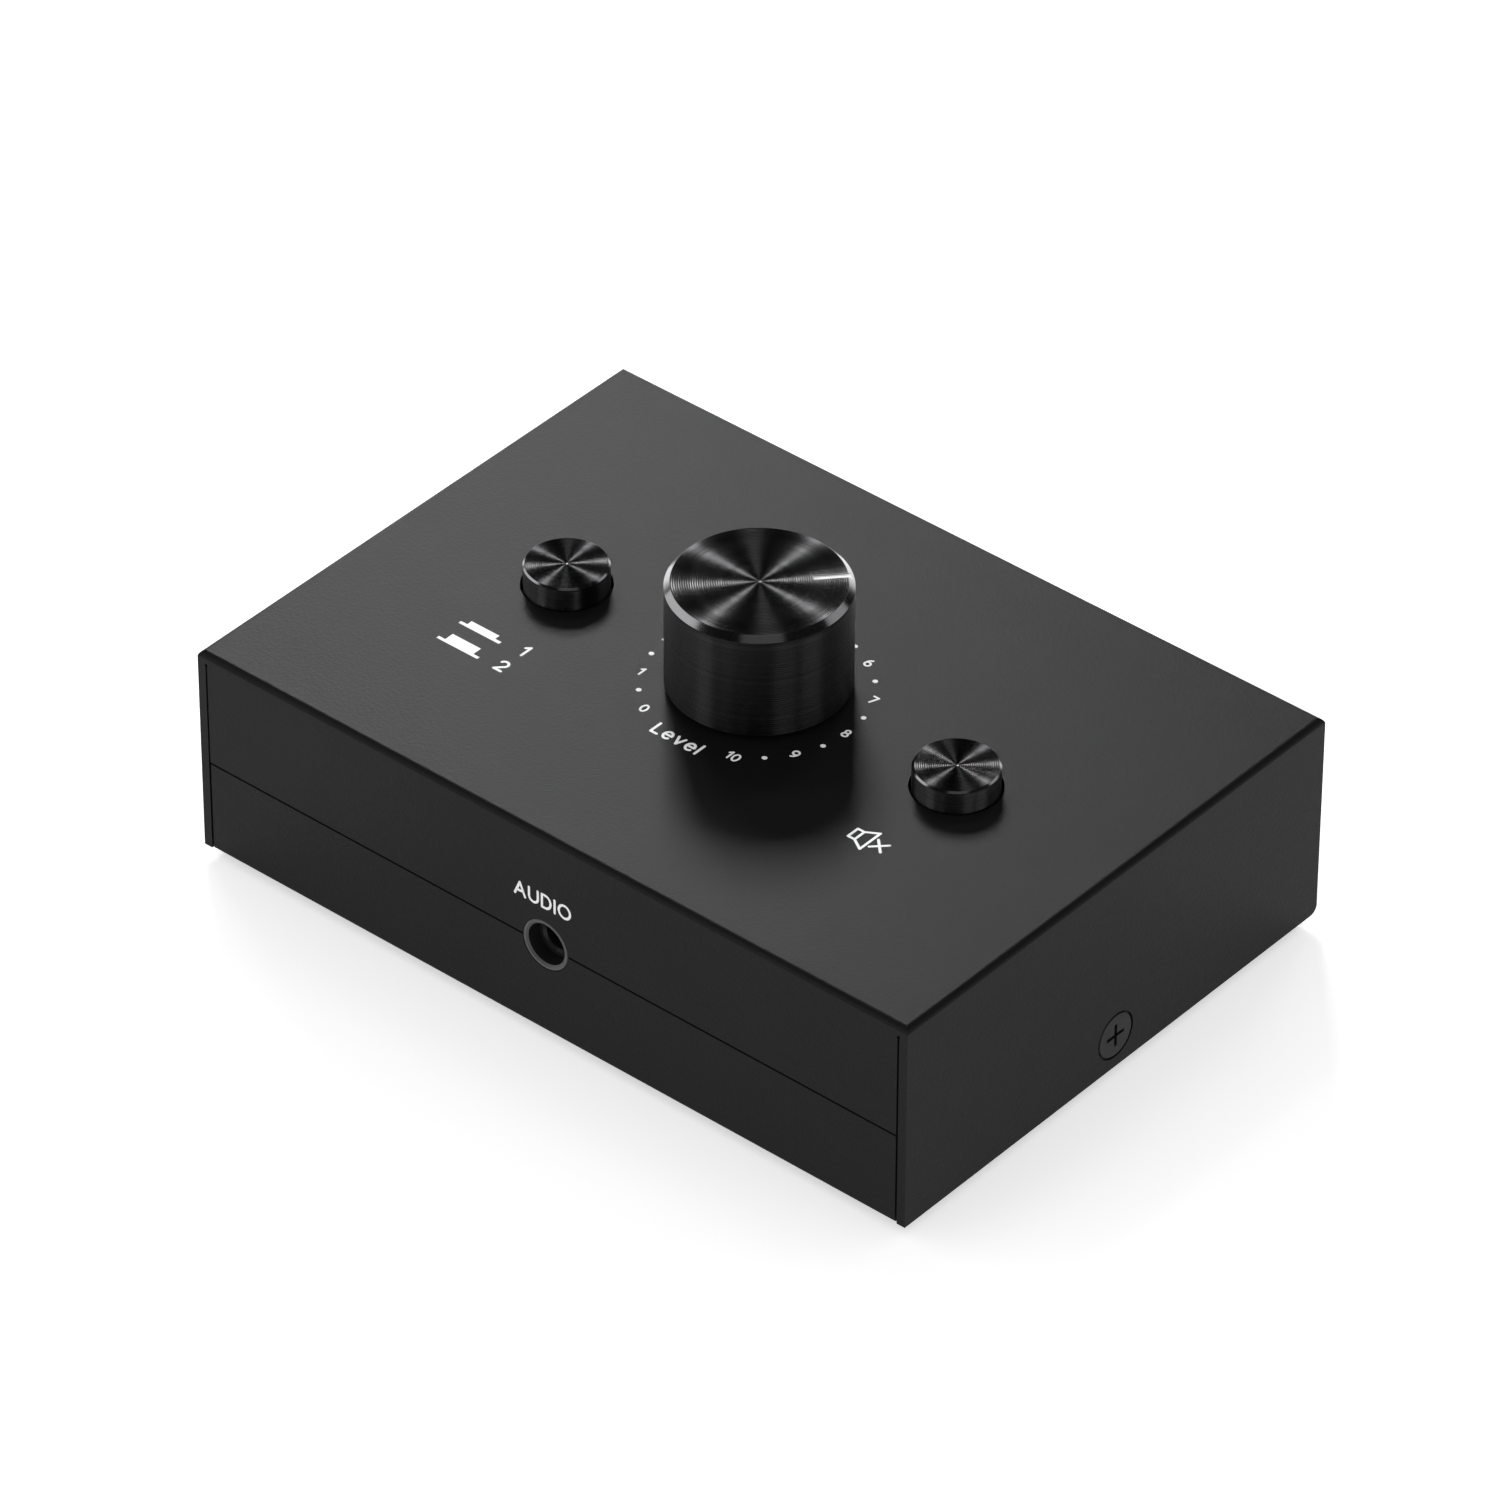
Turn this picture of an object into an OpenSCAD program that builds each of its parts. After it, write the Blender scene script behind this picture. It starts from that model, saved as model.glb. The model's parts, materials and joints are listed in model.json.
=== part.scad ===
// Audio switch box: a folded steel case with a volume knob, two push buttons and three 3.5 mm sockets.
// X runs along the front, Y towards the rear and Z up. The origin lies under the middle of the case,
// on the surface that the feet stand on.

/* [Case] */
// Width of the case, left to right
case_w = 107; // [101:0.5:125]
// Depth of the case, front to rear
case_d = 75; // [68:0.5:95]
// Height of the case without its feet
case_h = 28.5; // [28:0.5:36]
// Thickness of the steel sheet
sheet = 1.2; // [1:0.1:1.5]
// Outer radius of the bends round the top
top_bend_r = 0.8; // [0.4:0.1:1]
// Outer radius of the bend under the front wall
front_bend_r = 0.4; // [0.2:0.1:0.9]
// Outer radius of the bend under the rear wall, and of the side walls' rear lower corners
rear_bend_r = 1.1; // [0.4:0.1:1.4]
// Height of the seam between cover and base above the underside of the case
seam_h = 12.65; // [11:0.05:14]
// Gap in the seam between cover and base
seam_gap = 0.25; // [0.1:0.05:0.5]
// Gap between the ends of the front and rear walls and the side walls
slit_gap = 0.25; // [0.15:0.05:0.5]
// Distance from the inner face of the top down to the end of each slit
slit_drop = 0.45; // [0.3:0.05:1.5]
// Radius of the small round bend relief at the end of each slit
relief_r = 0.22; // [0.15:0.01:0.28]

/* [Base tabs and side screws] */
// Width of the tab inside each side wall
tab_w = 14; // [8:0.5:20]
// Height of the tab above the underside of the case
tab_h = 9; // [8:0.25:10]
// Height of the side screws above the underside of the case
side_screw_h = 4.6; // [4.4:0.1:5]
// Radius of the side screws' heads
side_head_r = 2.9; // [2.5:0.1:3.2]
// Depth of the heads' cylindrical rims
side_head_land = 0.35; // [0.2:0.05:0.5]
// Width of the ring gap round each head
side_head_gap = 0.25; // [0.1:0.05:0.4]
// Radius of the side screws' shanks
side_shank_r = 1.45; // [1.2:0.05:1.7]
// Length of the side screws with their heads
side_screw_len = 6; // [4:0.25:8]
// Length of each arm pair of the side screws' cross recess
side_cross_l = 3.3; // [2.4:0.1:3.8]
// Width of the arms of all cross recesses
cross_w = 0.45; // [0.3:0.05:0.7]
// Depth of all cross recesses
cross_deep = 0.8; // [0.4:0.1:1.2]
// Radial clearance of a screw in its tapped or countersunk hole
screw_clear = 0.05; // [0.03:0.01:0.1]

/* [Feet] */
// Height of the rubber feet
foot_h = 1.5; // [1:0.1:4]
// Radius of the feet where they are stuck on
foot_r = 4; // [3:0.25:6]
// Inward taper of the feet from top to bottom
foot_taper = 0.4; // [0:0.1:1]
// Distance of the feet's centres from the outer faces of the case
foot_inset = 9.5; // [7.5:0.5:14]

/* [Circuit board] */
// Thickness of the circuit board
board_t = 1.6; // [1:0.1:2]
// Gap between the board's ends and the tabs
board_gap = 1; // [0.5:0.1:2]
// Distance of the board's fixing holes from its edges
board_hole_inset = 4.5; // [4:0.25:7]
// Radius of the board's fixing holes
board_hole_r = 1.6; // [1.55:0.05:1.9]
// Outer radius of the standoffs
standoff_r = 2.6; // [2.2:0.1:3.5]
// Radius of the board screws' shanks
board_shank_r = 1.4; // [1.2:0.05:1.5]
// Radius of the board screws' heads
board_head_r = 2.7; // [2.4:0.1:3.2]
// Height of the board screws' heads
board_head_h = 1.8; // [1.5:0.1:2.5]
// Length of the board screws under their heads
board_screw_len = 5.5; // [4:0.25:6]
// Length of each arm pair of the board screws' cross recess
board_cross_l = 2.8; // [2:0.1:3.4]
// Length of the legs that stands out under the board
leg_out = 1.4; // [0.8:0.1:2]
// Clearance round a leg in the board
leg_clear = 0.15; // [0.05:0.05:0.2]

/* [Sockets] */
// Sideways distance of each rear socket from the middle
input_x = 29.5; // [16:0.5:34]
// Radius of the sockets' bores, for a 3.5 mm plug
jack_bore_r = 1.8; // [1.78:0.01:1.9]
// Length of the bore's wall
jack_bore_l = 12.5; // [11:0.5:14]
// Widening of the bore at its mouth
jack_mouth = 0.3; // [0.1:0.1:0.5]
// Height of the bores' axes above the board
jack_axis_h = 4; // [3.9:0.1:4.5]
// Distance from the outer face of the wall to the face of the nozzle
nozzle_recess = 2; // [1:0.1:2.6]
// Radius of the nozzle on the front of each housing
nozzle_r = 2.65; // [2.4:0.05:2.7]
// Width of the housing
jack_w = 9; // [8:0.25:11]
// Height of the housing above the bore's axis
jack_up = 3.6; // [3:0.1:4.5]
// Thickness of the housing behind the blind end of the bore
jack_back = 1.9; // [1:0.1:3]
// Outer radius of the collar in the wall
ring_r = 3.35; // [3.2:0.05:3.6]
// Inner radius of the collar
ring_bore_r = 2.75; // [2.72:0.01:2.9]
// Length of the collar
ring_len = 3.2; // [2.9:0.1:4]
// Chamfer on the collar's inner edge
ring_chamfer = 0.25; // [0:0.05:0.4]
// How far the collar's lip stands out behind the wall
ring_lip = 0.45; // [0.2:0.05:0.5]
// Clearance of the collar in the wall
ring_fit = 0.05; // [0.02:0.01:0.1]
// Width of a socket's contact spring
contact_w = 1.1; // [0.8:0.1:1.4]
// Thickness of a socket's contact spring
contact_t = 0.3; // [0.2:0.05:0.4]
// Gap between the contacts and the bore's cylinder
contact_gap = 0.12; // [0.08:0.01:0.2]
// Clearance of a contact in its slot
contact_clear = 0.15; // [0.05:0.05:0.25]

/* [Knob] */
// Radius of the volume knob
knob_r = 11; // [9:0.25:14]
// Height of the knob
knob_h = 14.15; // [13:0.05:20]
// Gap between knob and cover
knob_gap = 0.55; // [0.3:0.05:1.5]
// Chamfer round the knob's top
knob_chamfer = 0.7; // [0.3:0.1:1.2]
// Small chamfer round the knob's lower edge
knob_foot_chamfer = 0.25; // [0.1:0.05:0.5]
// Thickness of the knob's skirt
knob_wall = 2.5; // [1.5:0.1:2.8]
// Depth of the hollow under the knob
knob_hollow_h = 4.6; // [4.4:0.1:6]
// Radius of the core inside the knob
core_r = 5; // [4:0.1:6]
// How far the core stands out into the hollow
core_out = 0.5; // [0.2:0.1:0.6]
// Thickness of the knob's top over the core
knob_roof = 2.2; // [1.5:0.1:3]
// Direction of the pointer at rest, from +X towards +Y
pointer_deg = 47.5; // [0:0.5:90]
// Distance from the axis to the inner end of the pointer
pointer_from = 6.2; // [3:0.1:8]
// Width of the pointer's groove
pointer_w = 0.85; // [0.5:0.05:1.5]
// Depth of the pointer's groove
pointer_deep = 0.4; // [0.2:0.05:0.6]
// Thickness of the paint in the groove
paint_t = 0.1; // [0.05:0.01:0.15]
// Angle between the marks at the two ends of the dial
dial_gap_deg = 60; // [50:1:90]

/* [Volume control] */
// Radius of the front plate
pot_r = 8.5; // [8:0.1:10]
// Thickness of the front plate
pot_plate_t = 1.4; // [1:0.1:2]
// Radius of the threaded bushing
bushing_r = 3.5; // [3.4:0.05:4]
// Height of the bushing above the cover
bushing_out = 3.5; // [3.4:0.1:3.8]
// Radius of the shaft
shaft_r = 3; // [2.5:0.05:3.1]
// Radial running clearance of the shaft in the bushing
shaft_clear = 0.05; // [0.03:0.01:0.08]
// Distance from the axis to the flat on the shaft
shaft_flat = 1.5; // [1.2:0.1:2.2]
// Side of the square lower end of the shaft
shaft_square = 3.2; // [2.8:0.1:3.5]
// Gap between the end of the shaft and the end of the core's pocket
shaft_end_gap = 0.5; // [0.2:0.1:1]
// Thickness of the shaft clip
clip_t = 0.6; // [0.4:0.05:0.7]
// Gap between the bushing's end and the clip
clip_gap = 0.1; // [0.05:0.05:0.3]
// Outer radius of the shaft clip
clip_r = 4.3; // [3.8:0.1:5]
// Depth of the groove for the clip
clip_groove = 0.5; // [0.3:0.05:0.7]
// Outer radius of the washer
washer_r = 5.9; // [5:0.1:6]
// Thickness of the washer
washer_t = 0.5; // [0.3:0.05:0.6]
// Width of the hexagonal nut across its flats
nut_af = 10; // [9:0.25:11]
// Height of the nut
nut_h = 2; // [1.5:0.1:2.2]
// Radial clearance of the washer and the nut on the bushing, and of the bushing in the cover
bushing_clear = 0.08; // [0.03:0.01:0.15]
// Distance from the axis to the locating lug
lug_x = 7.3; // [7:0.1:7.4]
// Width of the locating lug
lug_w = 2.2; // [1.5:0.1:3]
// Thickness of the locating lug
lug_t = 0.9; // [0.6:0.1:1]
// Outer radius of the metal can
can_r = 8.2; // [7.9:0.1:8.5]
// Wall of the metal can
can_wall = 0.4; // [0.3:0.05:0.6]
// Radius of the rotors
rotor_r = 6.2; // [5.8:0.1:6.4]
// Thickness of the rotors
rotor_t = 1.6; // [1.2:0.1:1.8]
// Gap above each rotor, inside each track and under the shaft
rotor_gap = 0.4; // [0.3:0.05:0.6]
// Thickness of the wiper springs
wiper_t = 0.25; // [0.15:0.05:0.35]
// Height of the wipers' contact points
wiper_tip_h = 0.45; // [0.3:0.05:0.6]
// Radius of the wipers' contact points
wiper_tip_r = 0.5; // [0.3:0.05:0.7]
// Gap between the contact points and the track
wiper_gap = 0.1; // [0.05:0.01:0.15]
// Thickness of the track discs
track_t = 1.2; // [0.8:0.1:1.4]
// Distance between the two channels
channel_pitch = 4.8; // [4.7:0.1:6]
// Distance between neighbouring legs
pot_leg_pitch = 5; // [4:0.1:5]
// Width of the legs
pot_leg_w = 1.2; // [0.8:0.1:1.4]
// Thickness of the legs
pot_leg_t = 0.4; // [0.3:0.05:0.5]
// Distance from the axis to the lower channel's legs
pot_leg_y = 9.4; // [9.2:0.1:10.5]
// Distance between the two rows of legs
pot_row_step = 1.8; // [1.2:0.1:2.5]
// Half width of the stop tooth on the upper rotor
tooth_half = 0.8; // [0.6:0.1:1]
// How far the tooth reaches beyond the rotor
tooth_out = 1.1; // [0.8:0.1:1.2]
// Angle left between tooth and stop at each end of the turn
stop_spare_deg = 1; // [0.5:0.1:2]

/* [Buttons and switches] */
// Sideways distance of each button from the middle
button_x = 29.5; // [23:0.5:38]
// Radius of the button caps
button_r = 5.15; // [4.8:0.05:6.5]
// Height of the caps above the cover
button_rise = 3; // [2.6:0.1:4.5]
// Gap round the caps in the cover
button_gap = 0.35; // [0.3:0.05:0.6]
// Chamfer round the caps' tops
button_chamfer = 0.2; // [0.1:0.05:0.4]
// Thickness of the caps' tops
cap_roof = 1.6; // [1:0.1:2.5]
// Wall of the caps
cap_wall = 1.1; // [0.8:0.1:1.3]
// Radius of the boss inside the caps
boss_r = 3.1; // [2.9:0.1:3.3]
// Length of the boss inside the caps
boss_h = 5.4; // [3:0.1:6.5]
// Travel of the buttons
button_press = 2.2; // [1.2:0.1:2.5]
// Space left under the caps when they are pressed
press_spare = 0.6; // [0.3:0.1:1]
// Side of the switch housings
switch_w = 8.5; // [8:0.1:9]
// Height of the switches above the board without their plungers
switch_h = 9; // [8.6:0.1:9.3]
// Wall of the switch housings
switch_wall = 0.8; // [0.6:0.05:0.9]
// Thickness of the switch bases
switch_base_t = 1.2; // [1:0.1:1.4]
// Side of the plungers' square stems
stem_w = 3.2; // [2.8:0.1:3.6]
// Clearance round the stems in the housings
stem_clear = 0.15; // [0.1:0.05:0.25]
// Clearance of the stems in the caps
socket_clear = 0.03; // [0.01:0.01:0.08]
// Side of the plungers' blocks
block_w = 5.8; // [5.6:0.1:5.9]
// Gap under the housing's roof at rest
stop_gap = 0.05; // [0.03:0.01:0.1]
// Radius of the spring pocket under the block
spring_pocket_r = 2.1; // [2:0.05:2.2]
// Depth of the spring pocket
spring_pocket_h = 2.2; // [1.8:0.1:2.6]
// Mean radius of the return springs
spring_r = 1.65; // [1.5:0.05:1.7]
// Radius of the springs' wire
spring_wire_r = 0.17; // [0.12:0.01:0.2]
// Number of turns of the return springs
spring_turns = 5; // [3:1:6]
// Width of the groove in the block for the latch pin
latch_groove_w = 0.9; // [0.7:0.1:1.2]
// Depth of the groove for the latch pin
latch_groove_t = 0.45; // [0.35:0.05:0.5]
// Radius of the latch pin's wire
latch_wire_r = 0.2; // [0.15:0.01:0.22]
// Height of the pin's tip above the block's lower face at rest
latch_tip_h = 0.6; // [0.5:0.05:0.8]
// Gap between the pin's tip and the bottom of its groove
latch_tip_gap = 0.1; // [0.05:0.05:0.2]
// Space left over the pin's tip when the button is pressed
latch_spare = 0.15; // [0.1:0.05:0.3]
// Distance between neighbouring legs of a switch
switch_leg_pitch = 2.2; // [1.8:0.1:2.3]
// Width of a switch's legs
switch_leg_w = 0.8; // [0.5:0.1:1]
// Thickness of a switch's legs
switch_leg_t = 0.22; // [0.18:0.01:0.25]
// Height of the fixed contacts above the base
switch_contact_h = 4; // [3:0.1:5]
// Thickness of the sliding contacts
slider_t = 0.15; // [0.1:0.01:0.18]
// Height of the sliding contacts
slider_h = 2; // [1:0.1:3]
// Gap between the sliding and the fixed contacts
slider_gap = 0.1; // [0.05:0.01:0.15]

/* [Hidden] */
$fn = 64;
// Extra length that makes a cutting body reach past the faces it cuts
cut = 1;

// Levels of the case
case_top = foot_h + case_h;
floor_top = foot_h + sheet;
roof = case_top - sheet;
seam_z = foot_h + seam_h;
inner_w = case_w - 2 * sheet;
wall_w = inner_w - 2 * slit_gap;
// Depth from a side's outer face to just past the tab behind it
tab_reach = 2 * sheet + slit_gap + cut;

// Board and its fixings
jack_z = seam_z;
board_top = jack_z - jack_axis_h;
board_under = board_top - board_t;
board_w = wall_w - 2 * sheet - 2 * board_gap;
board_d = case_d - 2 * ring_len;
board_holes = [
    for (x = [-1, 1], y = [-1, 1])
        [x * (board_w / 2 - board_hole_inset), y * (board_d / 2 - board_hole_inset)]
];

// Socket lengths, measured inwards from the outer face of the wall
jack_bore_from = nozzle_recess + jack_mouth;
jack_bore_to = jack_bore_from + jack_bore_l;
jack_back_y = jack_bore_to + jack_back;
// Side, and depth behind the nozzle's face, of the sleeve, ring and tip contacts of a 3.5 mm plug
jack_spots = [[-1, 3], [1, 7.5], [-1, 11]];
contact_leg_x = jack_w / 2 - contact_clear - contact_t;

// Levels of the volume control
pot_plate_z = roof - pot_plate_t;
bushing_top = case_top + bushing_out;
clip_z = bushing_top + clip_gap;
knob_bottom = case_top + knob_gap;
knob_top = knob_bottom + knob_h;
hollow_top = knob_bottom + knob_hollow_h;
pocket_top = knob_top - knob_roof;
shaft_top = pocket_top - shaft_end_gap;
rotor_top = pot_plate_z - rotor_gap;
channel_h = rotor_gap + rotor_t + wiper_t + wiper_tip_h + wiper_gap + track_t;
can_floor = pot_plate_z - channel_pitch - channel_h - pot_leg_t - can_wall;
shaft_end = can_floor + can_wall + rotor_gap;
track_r = can_r - can_wall - shaft_clear;
nut_corner_r = nut_af / 2 / cos(30);
tooth_half_deg = asin(tooth_half / (rotor_r + tooth_out / 2));
stop_half_deg = dial_gap_deg / 2 - tooth_half_deg - stop_spare_deg;

// Levels of the buttons and switches
cap_top = case_top + button_rise;
cap_bottom = board_top + switch_h + button_press + press_spare;
block_top = board_top + switch_h - switch_wall - stop_gap;
groove_top = block_top - latch_groove_t;
block_bottom = groove_top - latch_spare - latch_wire_r - button_press - latch_tip_h;
switch_floor = board_top + switch_base_t;
switch_inner = switch_w - 2 * switch_wall;
leg_x = switch_inner / 2 - switch_leg_t - socket_clear;
slider_x = leg_x - slider_gap - slider_t;
latch_y = -(block_w / 2 + switch_inner / 2) / 2;

// Shared shapes

module box(low, high) {
    translate(low)
        cube(high - low);
}

module at_corners(x, y) {
    for (sx = [-1, 1], sy = [-1, 1])
        translate([sx * x, sy * y, 0])
            children();
}

module tube(r_out, r_in, h) {
    difference() {
        cylinder(r = r_out, h = h);
        translate([0, 0, -cut])
            cylinder(r = r_in, h = h + 2 * cut);
    }
}

// Outline of a folded shell seen along its bends, standing on the X axis, with two round upper corners
module folded_outline(w, h, r) {
    translate([-w / 2, 0])
        square([w, h - r]);
    translate([-w / 2 + r, 0])
        square([w - 2 * r, h]);
    for (side = [-1, 1])
        translate([side * (w / 2 - r), h - r])
            circle(r);
}

// Cross recess cut down from z = 0
module cross_recess(arm_l) {
    for (turn = [0, 90])
        rotate([0, 0, turn])
            translate([-arm_l / 2, -cross_w / 2, -cross_deep])
                cube([arm_l, cross_w, cross_deep + cut]);
}

// Moves children to the left or right side wall, with their +Z axis pointing out of the wall
module at_side_screw(side) {
    translate([side * case_w / 2, 0, foot_h + side_screw_h])
        rotate([0, side * 90, 0])
            children();
}

// Moves children to a socket, with Y = 0 on the outer face of the wall and +Y into the case
module at_output_jack() {
    translate([0, -case_d / 2, jack_z])
        children();
}

module at_input_jack(side) {
    translate([side * input_x, case_d / 2, jack_z])
        rotate([0, 0, 180])
            children();
}

module at_jacks() {
    at_output_jack()
        children();
    for (side = [-1, 1])
        at_input_jack(side)
            children();
}

// Turns a cylinder that stands on z = 0 to point along +Y
module along_y() {
    rotate([-90, 0, 0])
        children();
}

// Case

module collar_hole() {
    translate([0, -cut, 0])
        along_y()
            cylinder(r = ring_r + ring_fit, h = sheet + 2 * cut);
}

module side_screw_seat() {
    translate([0, 0, -side_head_land])
        cylinder(r = side_head_r + side_head_gap, h = side_head_land + cut);
    translate([0, 0, -sheet])
        cylinder(
            r1 = side_shank_r + screw_clear,
            r2 = side_head_r + screw_clear,
            h = sheet - side_head_land
        );
    translate([0, 0, -sheet - cut])
        cylinder(r = side_shank_r + screw_clear, h = 2 * cut);
}

module cover_blank() {
    intersection() {
        translate([0, case_d / 2, foot_h])
            rotate([90, 0, 0])
                linear_extrude(case_d)
                    folded_outline(case_w, case_h, top_bend_r);
        translate([-case_w / 2, 0, foot_h])
            rotate([90, 0, 90])
                linear_extrude(case_w)
                    folded_outline(case_d, case_h, top_bend_r);
    }
}

// Clears one wall below the seam and the slits beside it; the wall's outer face is at y = 0
module wall_cuts() {
    slit_top = roof - slit_drop;
    box([-inner_w / 2, -cut, foot_h - cut], [inner_w / 2, sheet, seam_z + seam_gap / 2]);
    for (side = [-1, 1]) {
        slit_x = side * (wall_w + slit_gap) / 2;
        box([slit_x - slit_gap / 2, -cut, foot_h - cut], [slit_x + slit_gap / 2, sheet, slit_top]);
        translate([slit_x, -cut, slit_top])
            along_y()
                cylinder(r = relief_r, h = sheet + cut);
    }
}

// Rounds the rear lower corners of both side walls
module rear_corner_cut() {
    translate([-case_w / 2 - cut, case_d / 2 - rear_bend_r, foot_h + rear_bend_r])
        rotate([0, 90, 0])
            difference() {
                box([0, 0, 0], [rear_bend_r + cut, rear_bend_r + cut, case_w + 2 * cut]);
                cylinder(r = rear_bend_r, h = case_w + 2 * cut);
            }
}

module top_cover() {
    color([0.2, 0.2, 0.21])
        difference() {
            cover_blank();
            box(
                [-inner_w / 2, -case_d / 2 + sheet, foot_h - cut],
                [inner_w / 2, case_d / 2 - sheet, roof]
            );
            translate([0, -case_d / 2, 0])
                wall_cuts();
            translate([0, case_d / 2, 0])
                rotate([0, 0, 180])
                    wall_cuts();
            rear_corner_cut();
            at_jacks()
                collar_hole();
            for (side = [-1, 1]) {
                at_side_screw(side)
                    side_screw_seat();
                translate([side * button_x, 0, roof - cut])
                    cylinder(r = button_r + button_gap, h = sheet + 2 * cut);
            }
            translate([0, 0, roof - cut])
                cylinder(r = bushing_r + bushing_clear, h = sheet + 2 * cut);
            box(
                [lug_x - lug_t / 2 - leg_clear, -lug_w / 2 - leg_clear, roof - cut],
                [lug_x + lug_t / 2 + leg_clear, lug_w / 2 + leg_clear, case_top + cut]
            );
        }
}

// Outline of the base seen from its left end, with Y to the left, as a tray up to the seam
module base_outline() {
    h = seam_h - seam_gap / 2;
    difference() {
        union() {
            translate([-case_d / 2, rear_bend_r])
                square([case_d, h - rear_bend_r]);
            translate([-case_d / 2, front_bend_r])
                square([case_d / 2, h - front_bend_r]);
            translate([-case_d / 2 + front_bend_r, 0])
                square([case_d - front_bend_r - rear_bend_r, h]);
            translate([-case_d / 2 + front_bend_r, front_bend_r])
                circle(front_bend_r);
            translate([case_d / 2 - rear_bend_r, rear_bend_r])
                circle(rear_bend_r);
        }
        translate([-case_d / 2 + sheet, sheet])
            square([case_d - 2 * sheet, h]);
    }
}

module base_plate() {
    color([0.18, 0.18, 0.19])
        difference() {
            union() {
                translate([-wall_w / 2, 0, foot_h])
                    rotate([90, 0, 90])
                        linear_extrude(wall_w)
                            base_outline();
                for (side = [0, 1])
                    mirror([side, 0, 0])
                        box(
                            [wall_w / 2 - sheet, -tab_w / 2, foot_h + sheet / 2],
                            [wall_w / 2, tab_w / 2, foot_h + tab_h]
                        );
            }
            at_jacks()
                collar_hole();
            for (side = [-1, 1])
                at_side_screw(side)
                    translate([0, 0, -tab_reach])
                        cylinder(r = side_shank_r + screw_clear, h = tab_reach);
        }
}

// One countersunk screw, its head's face at z = 0 and its shank pointing down
module side_screw() {
    difference() {
        union() {
            translate([0, 0, -side_head_land])
                cylinder(r = side_head_r, h = side_head_land);
            translate([0, 0, -sheet])
                cylinder(r1 = side_shank_r, r2 = side_head_r, h = sheet - side_head_land);
            translate([0, 0, -side_screw_len])
                cylinder(r = side_shank_r, h = side_screw_len - sheet);
        }
        cross_recess(side_cross_l);
    }
}

module side_screws() {
    color([0.22, 0.22, 0.23])
        for (side = [-1, 1])
            at_side_screw(side)
                side_screw();
}

module rubber_feet() {
    color([0.1, 0.1, 0.1])
        at_corners(case_w / 2 - foot_inset, case_d / 2 - foot_inset)
            cylinder(r1 = foot_r - foot_taper, r2 = foot_r, h = foot_h);
}

// Board and its fixings

module board_standoffs() {
    color([0.75, 0.75, 0.72])
        for (spot = board_holes)
            translate([spot[0], spot[1], floor_top])
                tube(standoff_r, board_shank_r + screw_clear, board_under - floor_top);
}

module board_screws() {
    color([0.7, 0.7, 0.7])
        for (spot = board_holes)
            translate([spot[0], spot[1], board_top])
                difference() {
                    union() {
                        cylinder(r = board_head_r, h = board_head_h);
                        translate([0, 0, -board_screw_len])
                            cylinder(r = board_shank_r, h = board_screw_len);
                    }
                    translate([0, 0, board_head_h])
                        cross_recess(board_cross_l);
                }
}

module circuit_board() {
    color([0.1, 0.35, 0.2])
        difference() {
            box([-board_w / 2, -board_d / 2, board_under], [board_w / 2, board_d / 2, board_top]);
            for (spot = board_holes)
                translate([spot[0], spot[1], board_under - cut])
                    cylinder(r = board_hole_r, h = board_t + 2 * cut);
            at_jacks()
                contact_legs(leg_clear);
            pot_legs(leg_clear);
            for (side = [-1, 1])
                at_switch(side)
                    switch_legs(leg_clear);
        }
}

// Sockets, in the frame that at_output_jack gives

module jack_ring() {
    color([0.32, 0.32, 0.33])
        along_y()
            rotate_extrude()
                polygon([
                    [ring_bore_r + ring_chamfer, 0],
                    [ring_r, 0],
                    [ring_r, sheet + ring_fit],
                    [ring_r + ring_lip, sheet + ring_fit],
                    [ring_r + ring_lip, ring_len],
                    [ring_bore_r, ring_len],
                    [ring_bore_r, ring_chamfer]
                ]);
}

module jack_housing() {
    color([0.08, 0.08, 0.08])
        difference() {
            union() {
                box([-jack_w / 2, ring_len, -jack_axis_h], [jack_w / 2, jack_back_y, jack_up]);
                translate([0, nozzle_recess, 0])
                    along_y()
                        cylinder(r = nozzle_r, h = ring_len - nozzle_recess + cut);
            }
            translate([0, nozzle_recess, 0])
                along_y()
                    cylinder(r1 = jack_bore_r + jack_mouth, r2 = jack_bore_r, h = jack_mouth);
            translate([0, nozzle_recess, 0])
                along_y()
                    cylinder(r = jack_bore_r, h = jack_mouth + jack_bore_l);
            for (spot = jack_spots)
                contact_slot(spot);
        }
}

// Mirrors children to the left for side -1 and moves them to the contact's depth
module at_contact(spot) {
    mirror([spot[0] < 0 ? 1 : 0, 0, 0])
        translate([0, nozzle_recess + spot[1], 0])
            children();
}

module contact_slot(spot) {
    half_w = contact_w / 2 + contact_clear;
    half_h = contact_t / 2 + contact_clear;
    at_contact(spot) {
        box([jack_bore_r / 2, -half_w, -half_h], [jack_w / 2 + cut, half_w, half_h]);
        box(
            [contact_leg_x - contact_clear, -half_w, -jack_axis_h - cut],
            [jack_w / 2 + cut, half_w, half_h]
        );
    }
}

// The legs of one socket's contacts, from the bore's axis to under the board
module contact_legs(grow = 0) {
    for (spot = jack_spots)
        at_contact(spot)
            box(
                [contact_leg_x - grow, -contact_w / 2 - grow, -jack_axis_h - board_t - leg_out],
                [contact_leg_x + contact_t + grow, contact_w / 2 + grow, contact_t / 2]
            );
}

module jack_contacts() {
    color([0.8, 0.72, 0.45]) {
        contact_legs();
        for (spot = jack_spots)
            at_contact(spot)
                box(
                    [jack_bore_r + contact_gap, -contact_w / 2, -contact_t / 2],
                    [contact_leg_x + contact_t, contact_w / 2, contact_t / 2]
                );
    }
}

module output_jack_ring() {
    at_output_jack()
        jack_ring();
}

module output_jack_housing() {
    at_output_jack()
        jack_housing();
}

module output_jack_contacts() {
    at_output_jack()
        jack_contacts();
}

// Volume control, fixed pieces

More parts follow.
